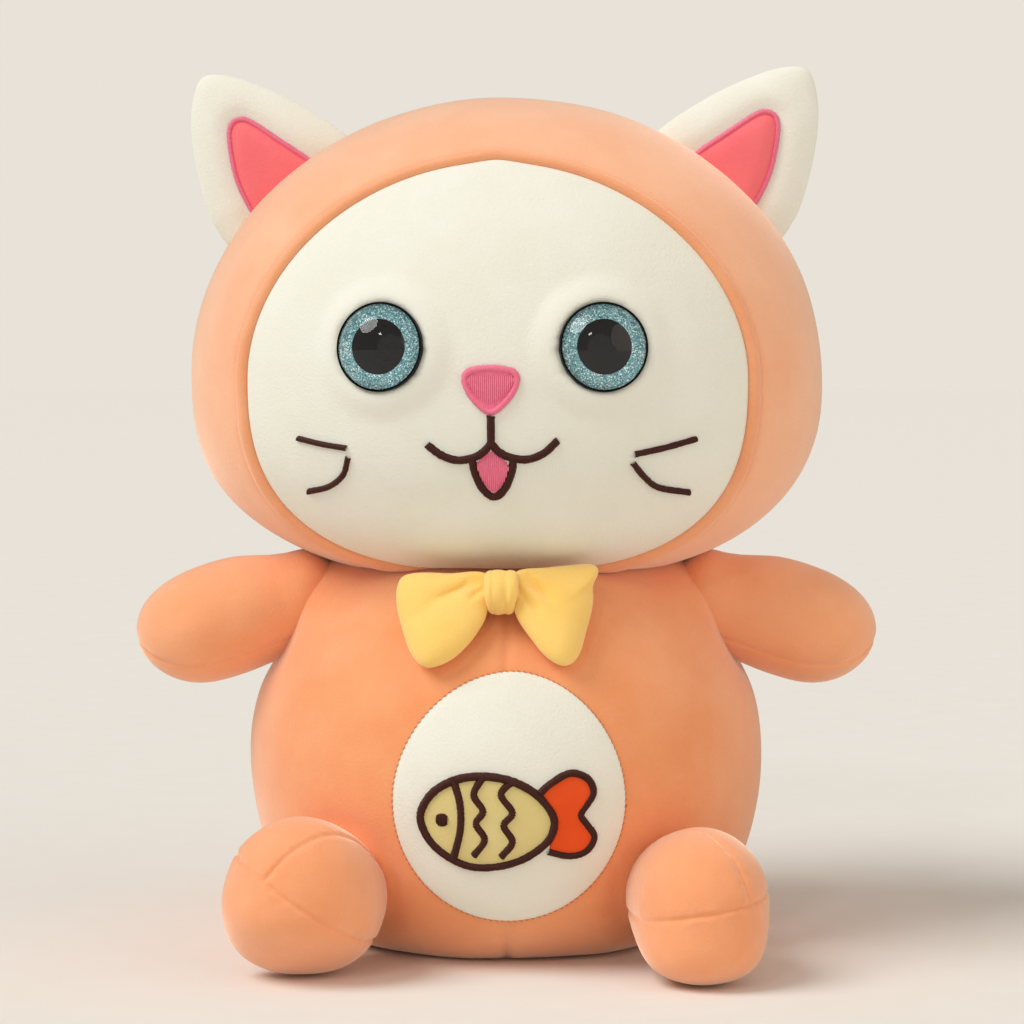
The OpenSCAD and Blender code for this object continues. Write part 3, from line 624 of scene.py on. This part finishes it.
def smooth_path(points, step, closed=False):
    """Even points along a curve through the given ones."""
    n = len(points)
    pts = [Vector(p) for p in points]
    dense = []
    for i in range(n if closed else n - 1):
        p0 = pts[(i - 1) % n] if closed or i else pts[0] * 2 - pts[1]
        p1, p2 = pts[i], pts[(i + 1) % n]
        p3 = pts[(i + 2) % n] if closed or i + 2 < n else p2 * 2 - p1
        for j in range(24):
            t = j / 24
            dense.append(0.5 * (2 * p1 + (p2 - p0) * t + (2 * p0 - 5 * p1 + 4 * p2 - p3) * t * t
                                + (3 * p1 - p0 - 3 * p2 + p3) * t ** 3))
    dense.append(pts[0] if closed else pts[-1])
    length = sum((b - a).length for a, b in zip(dense, dense[1:]))
    count = max(2, round(length / step))
    path, gone, want = [], 0.0, 0.0
    for a, b in zip(dense, dense[1:]):
        span = (b - a).length
        while want <= gone + span + 1e-9 and len(path) < count + 1:
            path.append(a + (b - a) * ((want - gone) / max(span, 1e-9)))
            want += length / count
        gone += span
    return path


def distance_to(path, u, v):
    return min((u - p.x) ** 2 + (v - p.y) ** 2 for p in path) ** 0.5


LINING_LINE = smooth_path(LINING, 2.0, True)


def pad(outline, surface, thick, base=0.0, rings=18):
    """Thin sewn-on cloth inside an outline, crowned on top and closed underneath."""
    count = len(outline) - 1
    mid = sum(outline[:count], Vector((0, 0))) / count

    def place(t, a):
        j = round(a / (2 * math.pi) * count) % count
        k = math.sin(math.pi * t)
        p = mid + (outline[j] - mid) * k
        top = t <= 0.5
        return surface(p.x, p.y, base + (thick * (1 - k ** 8) ** 0.5 if top else -0.4))

    return globe(count, rings, place)


def thread_form():
    """One stitch: a six-sided thread along x from -1 to 1."""
    bm = bmesh.new()
    ring = bmesh.ops.create_circle(bm, radius=1.0, segments=6)["verts"]
    bmesh.ops.rotate(bm, verts=ring, cent=(0, 0, 0), matrix=Matrix.Rotation(math.pi / 2, 3, "Y"))
    bmesh.ops.translate(bm, verts=ring, vec=(-1, 0, 0))
    edges = bm.edges[:]
    for _ in range(4):
        grown = bmesh.ops.extrude_edge_only(bm, edges=edges)["geom"]
        ring = [g for g in grown if isinstance(g, bmesh.types.BMVert)]
        edges = [g for g in grown if isinstance(g, bmesh.types.BMEdge) and all(v in ring for v in g.verts)]
        bmesh.ops.translate(bm, verts=ring, vec=(0.5, 0, 0))
    mesh = bpy.data.meshes.new("thread")
    bm.to_mesh(mesh)
    bm.free()
    return mesh


THREAD = thread_form()


def stitch(bm, a, b, surface, rise, thick):
    """Lays a thread from a to b over a surface, with its ends drawn in."""
    before = len(bm.verts)
    bm.from_mesh(THREAD)
    bm.verts.ensure_lookup_table()
    along = (b - a) / 2
    side = Vector((-along.y, along.x)).normalized() * thick / 2
    for v in bm.verts[before:]:
        x, y, z = v.co
        p = (a + b) / 2 + along * x + side * y
        arch = rise * (1 - abs(x) ** 2.5) - 0.35 * abs(x) ** 6
        v.co = surface(p.x, p.y, arch + z * thick / 2)


# Threads of 0.4 mm are laid 0.7 mm apart and drawn thicker, so that they show.
PITCH = 0.7
# Widths of the satin stitching.
WIDE = {"lining": 2.0, "nose": 2.5, "mouth": 3.1, "whisker": 2.4, "fish": 3.4, "gill": 2.9, "wave": 2.8,
        "tail": 3.0}


def satin(bm, path, wide, surface, rise):
    """Satin stitch along a path of points that are a pitch apart."""
    for i, p in enumerate(path):
        d = (path[min(i + 1, len(path) - 1)] - path[max(i - 1, 0)]).normalized()
        n = Vector((-d.y, d.x))
        w = wide / 2 * (1 + 0.13 * patchy((p.x * 3, p.y * 3, i), 1.0))
        stitch(bm, p - n * w - d * 0.25, p + n * w + d * 0.25, surface, rise, PITCH * 1.3)


NOSE = [(-8.0, 4.3), (0.0, 5.2), (8.0, 4.3), (10.8, 2.2), (11.0, -1.0), (9.0, -5.6), (5.6, -9.8),
        (2.4, -12.6), (0.0, -13.4), (-2.4, -12.6), (-5.6, -9.8), (-9.0, -5.6), (-11.0, -1.0), (-10.8, 2.2)]
MOUTH = [[(0, -14.2), (0, -24.6)],
         [(0, -24.2), (-3, -27.6), (-6.9, -29.8), (-12.9, -30.8), (-19, -28.9), (-24.2, -25.1)],
         [(0, -24.2), (3, -27.6), (7.7, -29.8), (13.7, -30.4), (19.8, -28.1), (25, -23.3)],
         [(-7.4, -30.2), (-6.2, -36), (-3.4, -42), (0.6, -45), (4.6, -42.2), (7.4, -36), (8.4, -30.4)]]
TONGUE = [(0.2, -27.0), (5.0, -30.6), (6.4, -34), (4.6, -40), (0.6, -43.6), (-3.2, -40), (-5.2, -34),
          (-4.6, -30.6)]
WHISKERS = {
    "right_whisker_upper": [(-75.6, -23.2), (-66.0, -25.2), (-56.4, -26.6)],
    "right_whisker_lower": [(-55.6, -30.4), (-57.9, -37.1), (-64.0, -41.9), (-72.5, -44.1)],
    "left_whisker_upper": [(54.4, -28.7), (65.8, -26.3), (77.2, -23.2)],
    "left_whisker_lower": [(53.6, -32.3), (57.8, -37.7), (63.1, -41.9), (74.5, -44.1)],
}


def fill(bm, outline, surface, rise, pitch):
    """Rows of upright stitches inside a closed outline."""
    low, high = min(p.x for p in outline), max(p.x for p in outline)
    x = low + pitch / 2
    while x < high:
        cuts = sorted(a.y + (b.y - a.y) * (x - a.x) / (b.x - a.x)
                      for a, b in zip(outline, outline[1:]) if (a.x - x) * (b.x - x) < 0)
        if len(cuts) >= 2 and cuts[-1] - cuts[0] > 1.0:
            stitch(bm, Vector((x, cuts[0])), Vector((x, cuts[-1])), surface, rise, pitch * 1.1)
        x += pitch


def make_embroidery():
    outline = smooth_path(NOSE, PITCH, True)
    inner = [p * 0.8 + Vector((0, -0.6)) for p in outline]
    bm = pad(smooth_path(NOSE, 1.5, True), face_at, 0.9)
    piece("nose_ground", bm, "head", PINK_THREAD, levels=0)
    bm = bmesh.new()
    fill(bm, inner, lambda u, v, h: face_at(u, v, h + 0.6), 0.7, 0.75)
    edge = [p * 0.88 + Vector((0, -0.4)) for p in outline]
    satin(bm, edge, WIDE["nose"], lambda u, v, h: face_at(u, v, h + 0.5), 1.2)
    piece("nose_stitching", bm, "head", PINK_THREAD, ("nose",), levels=0)
    bm = bmesh.new()
    for line in MOUTH:
        satin(bm, smooth_path(line, PITCH), WIDE["mouth"], face_at, 1.2)
    piece("mouth_stitching", bm, "head", BROWN_THREAD, ("mouth",), levels=0)
    bm = bmesh.new()
    fill(bm, smooth_path(TONGUE, 0.5, True), face_at, 0.9, 0.75)
    piece("tongue_stitching", bm, "head", PINK_THREAD, ("tongue",), levels=0)
    for name, line in WHISKERS.items():
        bm = bmesh.new()
        satin(bm, smooth_path(line, PITCH), WIDE["whisker"], face_at, 1.1)
        piece(f"{name}_stitching", bm, "head", BROWN_THREAD, (name,), levels=0)


# Belly patch and fish.

FISH_AT = Vector((-7.0, 61.0))
FISH = [(-24.8, -0.6), (-23.2, 5.6), (-18.4, 11.2), (-10.6, 15.0), (-1.0, 16.1), (9.4, 14.2), (18.2, 9.2),
        (23.8, 2.2), (24.5, -3.4), (21.6, -9.0), (13.6, -14.8), (4, -17.8), (-6, -18.0), (-14.6, -14.4),
        (-21.4, -8.4)]
TAIL = [(19.6, 10.0), (23.5, 13.4), (30.6, 17.0), (37.0, 14.8), (39.2, 9.6), (36.4, 4.6), (34.4, 1.2),
        (36.8, -2.6), (39.6, -7.4), (36.6, -12.6), (30.5, -14.2), (22.9, -12.4), (24.0, -8.0), (25.6, -3.0),
        (24.6, 3.0)]
GILL = [(-12.7, 15.4), (-10.1, 6.0), (-10.0, -4.0), (-12.6, -15.2)]
WAVES = [[(-1.2, 16.6), (-5.0, 9.6), (-1.6, 3.4), (-4.2, -1.4), (-1.0, -7.4), (-4.9, -13.4)],
         [(9.2, 14.6), (5.0, 9.6), (9.2, 2.8), (6.0, -2.0), (9.2, -8.2), (5.2, -13.8)]]


def patch_line(step):
    """Egg-shaped outline of the patch, leaning a little."""
    lean = Matrix.Rotation(PATCH_LEAN, 2)
    pts = []
    for i in range(48):
        a = 2 * math.pi * i / 48
        c, s = math.cos(a), math.sin(a)
        h, n = (PATCH_ABOVE, 1.9) if s >= 0 else (PATCH_BELOW, 2.0)
        r = (abs(c / PATCH_HALF) ** n + abs(s / h) ** n) ** (-1 / n)
        pts.append(lean @ Vector((r * c, r * s)) + Vector((PATCH_X, PATCH_MIDDLE)))
    return smooth_path(pts, step, True)


def make_patch():
    line = patch_line(2.2)
    bm = pad(line, belly_at, 1.3, 0.3, rings=36)
    o = piece("belly_patch_cloth", bm, "torso", WHITE, ("belly_patch",))
    bm = bmesh.new()
    for p in patch_line(2.3):
        mid = Vector((0.0, PATCH_MIDDLE))
        out = (p - mid).normalized()
        along = Vector((-out.y, out.x))
        stitch(bm, p - along * 0.7 - out * 0.4, p + along * 0.7 + out * 0.4,
               lambda u, v, h: belly_at(u, v, h + 0.45), 0.25, 0.4)
    piece("belly_patch_stitches", bm, "torso", SEAM_THREAD, levels=0)


def make_fish():
    def at(u, v, h):
        return belly_at(u + FISH_AT.x, v + FISH_AT.y, h + 1.5)

    line = smooth_path(FISH, 2.0, True)
    bm = pad(line, at, 0.9)
    o = piece("fish_body_cloth", bm, "torso", FISH_CREAM, ("fish_body",))
    tail = smooth_path(TAIL, 2.0, True)
    bm = pad(tail, at, 0.8)
    o = piece("fish_tail_cloth", bm, "torso", FISH_ORANGE, ("fish_tail",))
    bm = bmesh.new()
    satin(bm, smooth_path(FISH, PITCH, True), WIDE["fish"], at, 1.7)
    satin(bm, smooth_path(GILL, PITCH), WIDE["gill"], lambda u, v, h: at(u, v, h + 0.7), 1.0)
    for wave in WAVES:
        satin(bm, smooth_path(wave, PITCH), WIDE["wave"], lambda u, v, h: at(u, v, h + 0.7), 1.0)
    piece("fish_outline_stitching", bm, "torso", BROWN_THREAD, ("fish_stitching",), levels=0)
    bm = bmesh.new()
    satin(bm, smooth_path(TAIL[:12], PITCH), WIDE["tail"], at, 1.4)
    piece("fish_tail_stitching", bm, "torso", BROWN_THREAD, ("tail_stitching",), levels=0)
    bm = bmesh.new()
    fill(bm, smooth_path([(-18.3, -2.6), (-18.5, 1.9), (-15.1, 2.1), (-15.0, -2.5)], 0.4, True),
         lambda u, v, h: at(u, v, h + 0.7), 0.9, 0.6)
    piece("fish_eye_stitching", bm, "torso", BROWN_THREAD, ("fish_eye",), levels=0)


# Bow tie.

LOOPS = {
    "right": [(-5.0, 6.4), (-21, 6.8), (-35.3, 6.2), (-39.6, 3), (-40, -4.9), (-36.6, -17.5), (-32.8, -24.9),
              (-28.3, -27.9), (-22.6, -26.8), (-16.6, -23), (-9, -15), (-5.0, -7.0)],
    "left": [(5.0, 6.8), (19.6, 8.9), (33.5, 10.0), (37.4, 7.5), (35.2, 2), (35.0, -4.9), (32.8, -14.3),
             (29.2, -23.7), (24.4, -27.0), (18.4, -24.8), (12.6, -19.0), (5.0, -7.4)],
}

# Folds of each loop: from the knot, to, and how far the cloth above a fold lies back.
FOLDS = {
    "right": [((-6, 4.2), (-27, -4.6), 6.5), ((-6, 0.8), (-12, -3.2), 3.0)],
    "left": [((6, 5.8), (19, -4.2), 6.5), ((6, 0.2), (15, -8.5), 3.0), ((6, 8.6), (28, 4.0), 2.0)],
}


def fold_depth(p, start, end, deep):
    """How far a fold draws the cloth in: sharply above its line, and easing out from there."""
    start, line = Vector(start), Vector(end) - Vector(start)
    k = (p - start).dot(line) / line.length_squared
    up = (p - start).dot(Vector((-line.y, line.x)).normalized()) * (1 if line.x > 0 else -1)
    return deep * (1 - eased((k - 0.5) / 0.65)) * eased((up + 0.7) / 1.4) * math.exp(-max(0.0, up) / 4.0)


def chest_y(x, z):
    return -math.sqrt(max(0.0, body_radius(z) ** 2 - x * x))


def bow_y(x, z):
    """Middle of the loops, between the chest and a plane that hangs from the knot."""
    plane = BOW_Y + 0.42 * (z - BOW_Z)
    return mixed(plane, min(chest_y(x, z) - 4.0, plane + 14.0), 0.5 * eased(abs(x) / 30))


def make_loop(side):
    line = smooth_path(LOOPS[side], 1.4, True)
    count = len(line) - 1
    mid = sum(line[:count], Vector((0, 0))) / count

    def place(t, a):
        j = round(a / (2 * math.pi) * count) % count
        k = math.sin(math.pi * t)
        p = mid + (line[j] - mid) * k
        front = 1.0 if t <= 0.5 else -1.0
        reach = eased((abs(p.x) - 4) / 22)
        bulge = mixed(LOOP_NEAR, LOOP_FAR, reach) * (1 - k ** 2.6) ** 0.5
        fold = min(0.8 * bulge, sum(fold_depth(p, *f) for f in FOLDS[side])) * (1 - k ** 8)
        x, z = p.x + BOW_X, BOW_Z + p.y
        y = bow_y(x, z) - front * bulge + (fold if front > 0 else 0.0)
        if front < 0:
            y = min(y, chest_y(x, z) - 0.4)
        return Vector((x, y, z))

    bm = globe(count, 40, place)
    pushed(bm, lambda p: 0.4 * patchy(p, 12))
    o = piece(f"bow_{side}_loop_pad", bm, "torso", YELLOW, (f"bow_{side}_loop",),
              held=lambda p: abs(p.x - BOW_X) < 7, swell=dict(pressure=3.0, cap=1.2))


def make_knot():
    def place(t, a):
        w = math.pi * t
        x = KNOT_HALF * math.copysign(abs(math.cos(w)) ** 0.5, math.cos(w))
        r = math.sin(w) ** 0.3
        fold = 1.3 * math.exp(-((x - 1.9) / 0.7) ** 2) + 0.5 * math.exp(-((x + 3.4) / 0.7) ** 2)
        taper = 1 - 0.2 * eased(-math.sin(a))
        return Vector((x * taper + BOW_X, BOW_Y - (KNOT_DEEP * r - fold) * math.cos(a),
                       BOW_Z + (KNOT_TALL * r - fold * 0.4) * math.sin(a)))

    bm = globe(48, 40, place)
    pushed(bm, lambda p: 0.3 * patchy(p, 6))
    o = piece("bow_knot", bm, "torso", YELLOW, ("bow_band",))


# Materials.

def linear(code):
    """sRGB hex colour as linear red, green, blue and alpha."""
    parts = [int(code[i:i + 2], 16) / 255 for i in (1, 3, 5)]
    return [c / 12.92 if c <= 0.04045 else ((c + 0.055) / 1.055) ** 2.4 for c in parts] + [1.0]


def node(tree, kind, values=None, links=None, **settings):
    """Adds a node with its settings, input values and links."""
    made = tree.nodes.new(kind)
    for key, value in settings.items():
        setattr(made, key, value)
    for key, value in (values or {}).items():
        made.inputs[key].default_value = value
    for key, socket in (links or {}).items():
        tree.links.new(socket, made.inputs[key])
    return made


def material(name):
    made = bpy.data.materials.new(name)
    made.use_nodes = True
    tree = made.node_tree
    shader = tree.nodes["Principled BSDF"]
    at = node(tree, "ShaderNodeTexCoord").outputs["Object"]
    return made, tree, shader, at


def velvet(name, colour, nap, sheen, weight=0.6):
    """Short-pile polyester velvet: matt, with a pale sheen where it turns away and an uneven nap."""
    made, tree, shader, at = material(name)
    # The nap lies lighter or darker in patches of 25 mm.
    lay = node(tree, "ShaderNodeTexNoise", {"Scale": 1 / 0.025, "Detail": 3.0, "Roughness": 0.55},
               {"Vector": at})
    ramp = node(tree, "ShaderNodeMapRange", {"From Min": 0.3, "From Max": 0.7}, {"Value": lay.outputs["Fac"]})
    tint = node(tree, "ShaderNodeMix", {"A": linear(colour), "B": linear(nap)},
                {"Factor": ramp.outputs["Result"]}, data_type="RGBA")
    # Pile of 0.3 mm drawn at 1 mm, so that it shows, over soft lumps of 7 mm.
    pile = node(tree, "ShaderNodeTexNoise", {"Scale": 1 / 0.001, "Detail": 2.0}, {"Vector": at})
    lumps = node(tree, "ShaderNodeTexNoise", {"Scale": 1 / 0.007, "Detail": 1.0}, {"Vector": at})
    height = node(tree, "ShaderNodeMath", {1: 0.5}, {0: lumps.outputs["Fac"], 2: pile.outputs["Fac"]},
                  operation="MULTIPLY_ADD")
    bump = node(tree, "ShaderNodeBump", {"Strength": 0.35, "Distance": 0.0006},
                {"Height": height.outputs["Value"]})
    tree.links.new(tint.outputs["Result"], shader.inputs["Base Color"])
    tree.links.new(bump.outputs["Normal"], shader.inputs["Normal"])
    shader.inputs["Roughness"].default_value = 0.9
    shader.inputs["Specular IOR Level"].default_value = 0.2
    shader.inputs["Sheen Weight"].default_value = weight
    shader.inputs["Sheen Roughness"].default_value = 0.5
    shader.inputs["Sheen Tint"].default_value = linear(sheen)
    return made


def thread(name, colour, dark):
    """Rayon embroidery thread: lustrous, with each strand a little lighter or darker."""
    made, tree, shader, at = material(name)
    strand = node(tree, "ShaderNodeTexNoise", {"Scale": 1 / 0.0009, "Detail": 1.0}, {"Vector": at})
    tint = node(tree, "ShaderNodeMix", {"A": linear(colour), "B": linear(dark)},
                {"Factor": strand.outputs["Fac"]}, data_type="RGBA")
    tree.links.new(tint.outputs["Result"], shader.inputs["Base Color"])
    shader.inputs["Roughness"].default_value = 0.5
    shader.inputs["Specular IOR Level"].default_value = 0.25
    return made


def glitter(name):
    """Glitter foil behind the dome: flakes of 0.4 mm, each with its own shade."""
    made, tree, shader, at = material(name)
    flakes = node(tree, "ShaderNodeTexVoronoi", {"Scale": 1 / 0.0004}, {"Vector": at})
    shade = node(tree, "ShaderNodeSeparateColor", links={"Color": flakes.outputs["Color"]})
    ramp = node(tree, "ShaderNodeValToRGB", links={"Fac": shade.outputs["Red"]})
    ramp.color_ramp.interpolation = "CONSTANT"
    stops = ramp.color_ramp.elements
    stops[0].color, stops[1].color = linear("#2F6A76"), linear("#DDF0F0")
    stops[0].position, stops[1].position = 0.0, 0.88
    for position, colour in ((0.22, "#548F9B"), (0.45, "#6FA8B0"), (0.72, "#96C4C9")):
        stops.new(position).color = linear(colour)
    bump = node(tree, "ShaderNodeBump", {"Strength": 0.5, "Distance": 0.0003},
                {"Height": shade.outputs["Green"]})
    tree.links.new(ramp.outputs["Color"], shader.inputs["Base Color"])
    tree.links.new(bump.outputs["Normal"], shader.inputs["Normal"])
    shader.inputs["Metallic"].default_value = 0.2
    shader.inputs["Roughness"].default_value = 0.4
    return made


def plastic(name, colour, rough, gloss=0.5):
    """Moulded plastic: even colour, glossy, with faint flow marks of 2 mm."""
    made, tree, shader, at = material(name)
    flow = node(tree, "ShaderNodeTexNoise", {"Scale": 1 / 0.002, "Detail": 2.0}, {"Vector": at})
    spread = node(tree, "ShaderNodeMapRange", {"To Min": rough * 0.8, "To Max": rough * 1.2},
                  {"Value": flow.outputs["Fac"]})
    tree.links.new(spread.outputs["Result"], shader.inputs["Roughness"])
    shader.inputs["Base Color"].default_value = linear(colour)
    shader.inputs["Specular IOR Level"].default_value = gloss
    return made


def clear_dome(name):
    """Clear acrylic dome: sharp highlights over what lies behind it."""
    made, tree, shader, at = material(name)
    haze = node(tree, "ShaderNodeTexNoise", {"Scale": 1 / 0.004, "Detail": 2.0}, {"Vector": at})
    spread = node(tree, "ShaderNodeMapRange", {"To Min": 0.0, "To Max": 0.03}, {"Value": haze.outputs["Fac"]})
    tree.links.new(spread.outputs["Result"], shader.inputs["Roughness"])
    shader.inputs["Base Color"].default_value = linear("#FFFFFF")
    shader.inputs["Transmission Weight"].default_value = 1.0
    shader.inputs["IOR"].default_value = 1.22
    shader.inputs["Coat Weight"].default_value = 0.5
    shader.inputs["Coat Roughness"].default_value = 0.02
    return made


# Lit and shaded copies of one peach velvet: painted light makes the hood, arms and rim paler than the feet,
# and painted shade makes the body darker and more saturated.
PEACH = velvet("peach_velvet_pile", "#F29C68", "#F6A878", "#FFE8D6", 1.0)
PEACH_PAINTED_LIT_HOOD = velvet("peach_velvet_painted_lit_hood", "#F6B086", "#FABC94", "#FFE8D6", 1.0)
PEACH_PAINTED_SHADE_BODY = velvet("peach_velvet_painted_shade_body", "#F09760", "#F4A470", "#FFE8D6", 1.0)
PEACH_PAINTED_LIT_ARM = velvet("peach_velvet_painted_lit_arm", "#F5A472", "#F9B082", "#FFE8D6", 1.0)
PEACH_PAINTED_LIT_RIM = velvet("peach_velvet_painted_lit_rim", "#F2A273", "#F6AE80", "#FFE8D6", 1.0)
WHITE = velvet("white_velvet_pile", "#EAE9DA", "#EEEDE1", "#FFFDF4", 0.3)
YELLOW = velvet("yellow_velvet_pile", "#F9CA66", "#FBD378", "#FFF4D2", 0.7)
EAR_PINK = velvet("pink_velvet_lining", "#F76E75", "#FB7C81", "#FFC8C8", 0.5)
# Felt of the fish, nearly without sheen.
FISH_CREAM = velvet("cream_felt", "#DCC985", "#E4D393", "#FFFBE6", 0.1)
FISH_ORANGE = velvet("orange_felt", "#E9501C", "#F05C28", "#FFD8C0", 0.1)
PINK_THREAD = thread("pink_rayon_thread", "#F98AA6", "#E86C8C")
BROWN_THREAD = thread("brown_rayon_thread", "#4C2016", "#32110A")
SEAM_THREAD = thread("seam_thread", "#DA9670", "#BC7A55")
IRIS = glitter("glitter_foil")
BLACK = plastic("black_abs", "#0B0A0C", 0.3, 0.1)
WASHER = plastic("white_nylon", "#E4E3DE", 0.4)
DOME = clear_dome("clear_acrylic")


# Eyes.

DOME_R, DOME_HIGH, DOME_LEVEL = 16.15, 8.5, 1.05
DOME_BOND = 0.25  # The dome is bonded to the foil, so its base lies inside it and mirrors nothing.


def make_eyes():
    """Clear domes over the solids' own plates, irises and pupils."""
    for side, d in zip(("right", "left"), EYES):
        bm = bmesh.new()
        ball = (DOME_R ** 2 + DOME_HIGH ** 2) / (2 * DOME_HIGH)
        wide = math.asin(DOME_R / ball)
        arc = [Vector((0, 0, -DOME_BOND)), Vector((DOME_R, 0, -DOME_BOND))]
        arc += [Vector((ball * math.sin(w), 0, 1 + DOME_HIGH - ball + ball * math.cos(w)))
                for w in (wide * (1 - i / 14) for i in range(15))]
        line = [bm.verts.new(co) for co in arc]
        edges = [bm.edges.new(pair) for pair in zip(line, line[1:])]
        bmesh.ops.spin(bm, geom=line + edges, cent=(0, 0, 0), axis=(0, 0, 1), angle=2 * math.pi, steps=72,
                       use_merge=True)
        bmesh.ops.remove_doubles(bm, verts=bm.verts, dist=1e-4)
        outwards(bm)
        # The flat base keeps its own normals, so that it doesn't bend what is seen through it.
        for e in bm.edges:
            e.smooth = e.calc_face_angle(0.0) < 0.4
        mid = head_at(d)
        up = (head_at(d, 1.0) - mid).normalized()
        seat = Matrix.Translation(mid + up * DOME_LEVEL) @ up.to_track_quat("Z", "Y").to_matrix().to_4x4()
        bmesh.ops.transform(bm, matrix=seat, verts=bm.verts)
        piece(f"{side}_eye_dome", bm, "head", DOME, (f"{side}_eye_lens",), levels=0)
        for part, look in (("back", BLACK), ("iris", IRIS), ("pupil", BLACK), ("washer", WASHER)):
            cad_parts[f"{side}_eye_{part}"].material_slots[0].material = look


def make_stage():
    """Pale floor, soft studio light and the camera at the photograph's angle."""
    scene = bpy.context.scene
    scene.view_settings.view_transform = "Standard"
    bm = bmesh.new()
    bmesh.ops.create_circle(bm, cap_ends=True, radius=12.0, segments=64)
    mesh = bpy.data.meshes.new("floor")
    bm.to_mesh(mesh)
    bm.free()
    floor = bpy.data.objects.new("floor", mesh)
    scene.collection.objects.link(floor)
    paper, tree, shader, at = material("pale_paper")
    fibre = node(tree, "ShaderNodeTexNoise", {"Scale": 40.0, "Detail": 2.0}, {"Vector": at})
    tint = node(tree, "ShaderNodeMix", {"A": linear("#E9E4DC"), "B": linear("#ECE8E1")},
                {"Factor": fibre.outputs["Fac"]}, data_type="RGBA")
    tree.links.new(tint.outputs["Result"], shader.inputs["Base Color"])
    shader.inputs["Roughness"].default_value = 1.0
    mesh.materials.append(paper)

    world = bpy.data.worlds.new("studio")
    scene.world = world
    world.use_nodes = True
    tree = world.node_tree
    rays = node(tree, "ShaderNodeLightPath")
    seen = node(tree, "ShaderNodeMath",
                links={0: rays.outputs["Is Camera Ray"], 1: rays.outputs["Is Transmission Ray"]},
                operation="MAXIMUM")
    # The backdrop is as bright as the floor, and lights the object less than it shows.
    tint = node(tree, "ShaderNodeMix", {"A": linear("#A9A8A4"), "B": linear("#E8E2D8")},
                {"Factor": seen.outputs["Value"]}, data_type="RGBA")
    tree.links.new(tint.outputs["Result"], tree.nodes["Background"].inputs["Color"])

    # Parallel light from large sources, so that the floor is even up to the horizon.
    for name, place, wide, power, colour in (("key", (-1.0, -0.42, 1.25), 35, 1.95, "#FFFFFF"),
                                             ("window", (-0.29, -0.77, 0.57), 7, 0.18, "#FFFFFF"),
                                             ("front", (0.1, -1.0, 0.08), 60, 0.25, "#FFFFFF"),
                                             ("fill", (1.2, -0.6, 0.5), 60, 0.7, "#FFE9D6")):
        lamp = bpy.data.lights.new(name, "SUN")
        lamp.energy, lamp.angle, lamp.color = power, math.radians(wide), linear(colour)[:3]
        o = bpy.data.objects.new(name, lamp)
        o.rotation_euler = (-Vector(place)).to_track_quat("-Z", "Y").to_euler()
        scene.collection.objects.link(o)

    lens = bpy.data.cameras.new("camera")
    lens.sensor_width, lens.lens = 36.0, 112.7
    camera = bpy.data.objects.new("camera", lens)
    camera.location = (0, -1.3, 0.2445)
    camera.rotation_euler = (math.radians(90 - 3.25), 0, math.radians(-0.1))
    scene.collection.objects.link(camera)
    scene.camera = camera


make_stage()
make_body()
make_head()
make_facing()
for hand in ("left", "right"):
    make_ear(hand)
    make_arm(hand)
    make_leg(hand)
    make_loop(hand)
make_knot()
make_embroidery()
make_patch()
make_fish()
make_eyes()
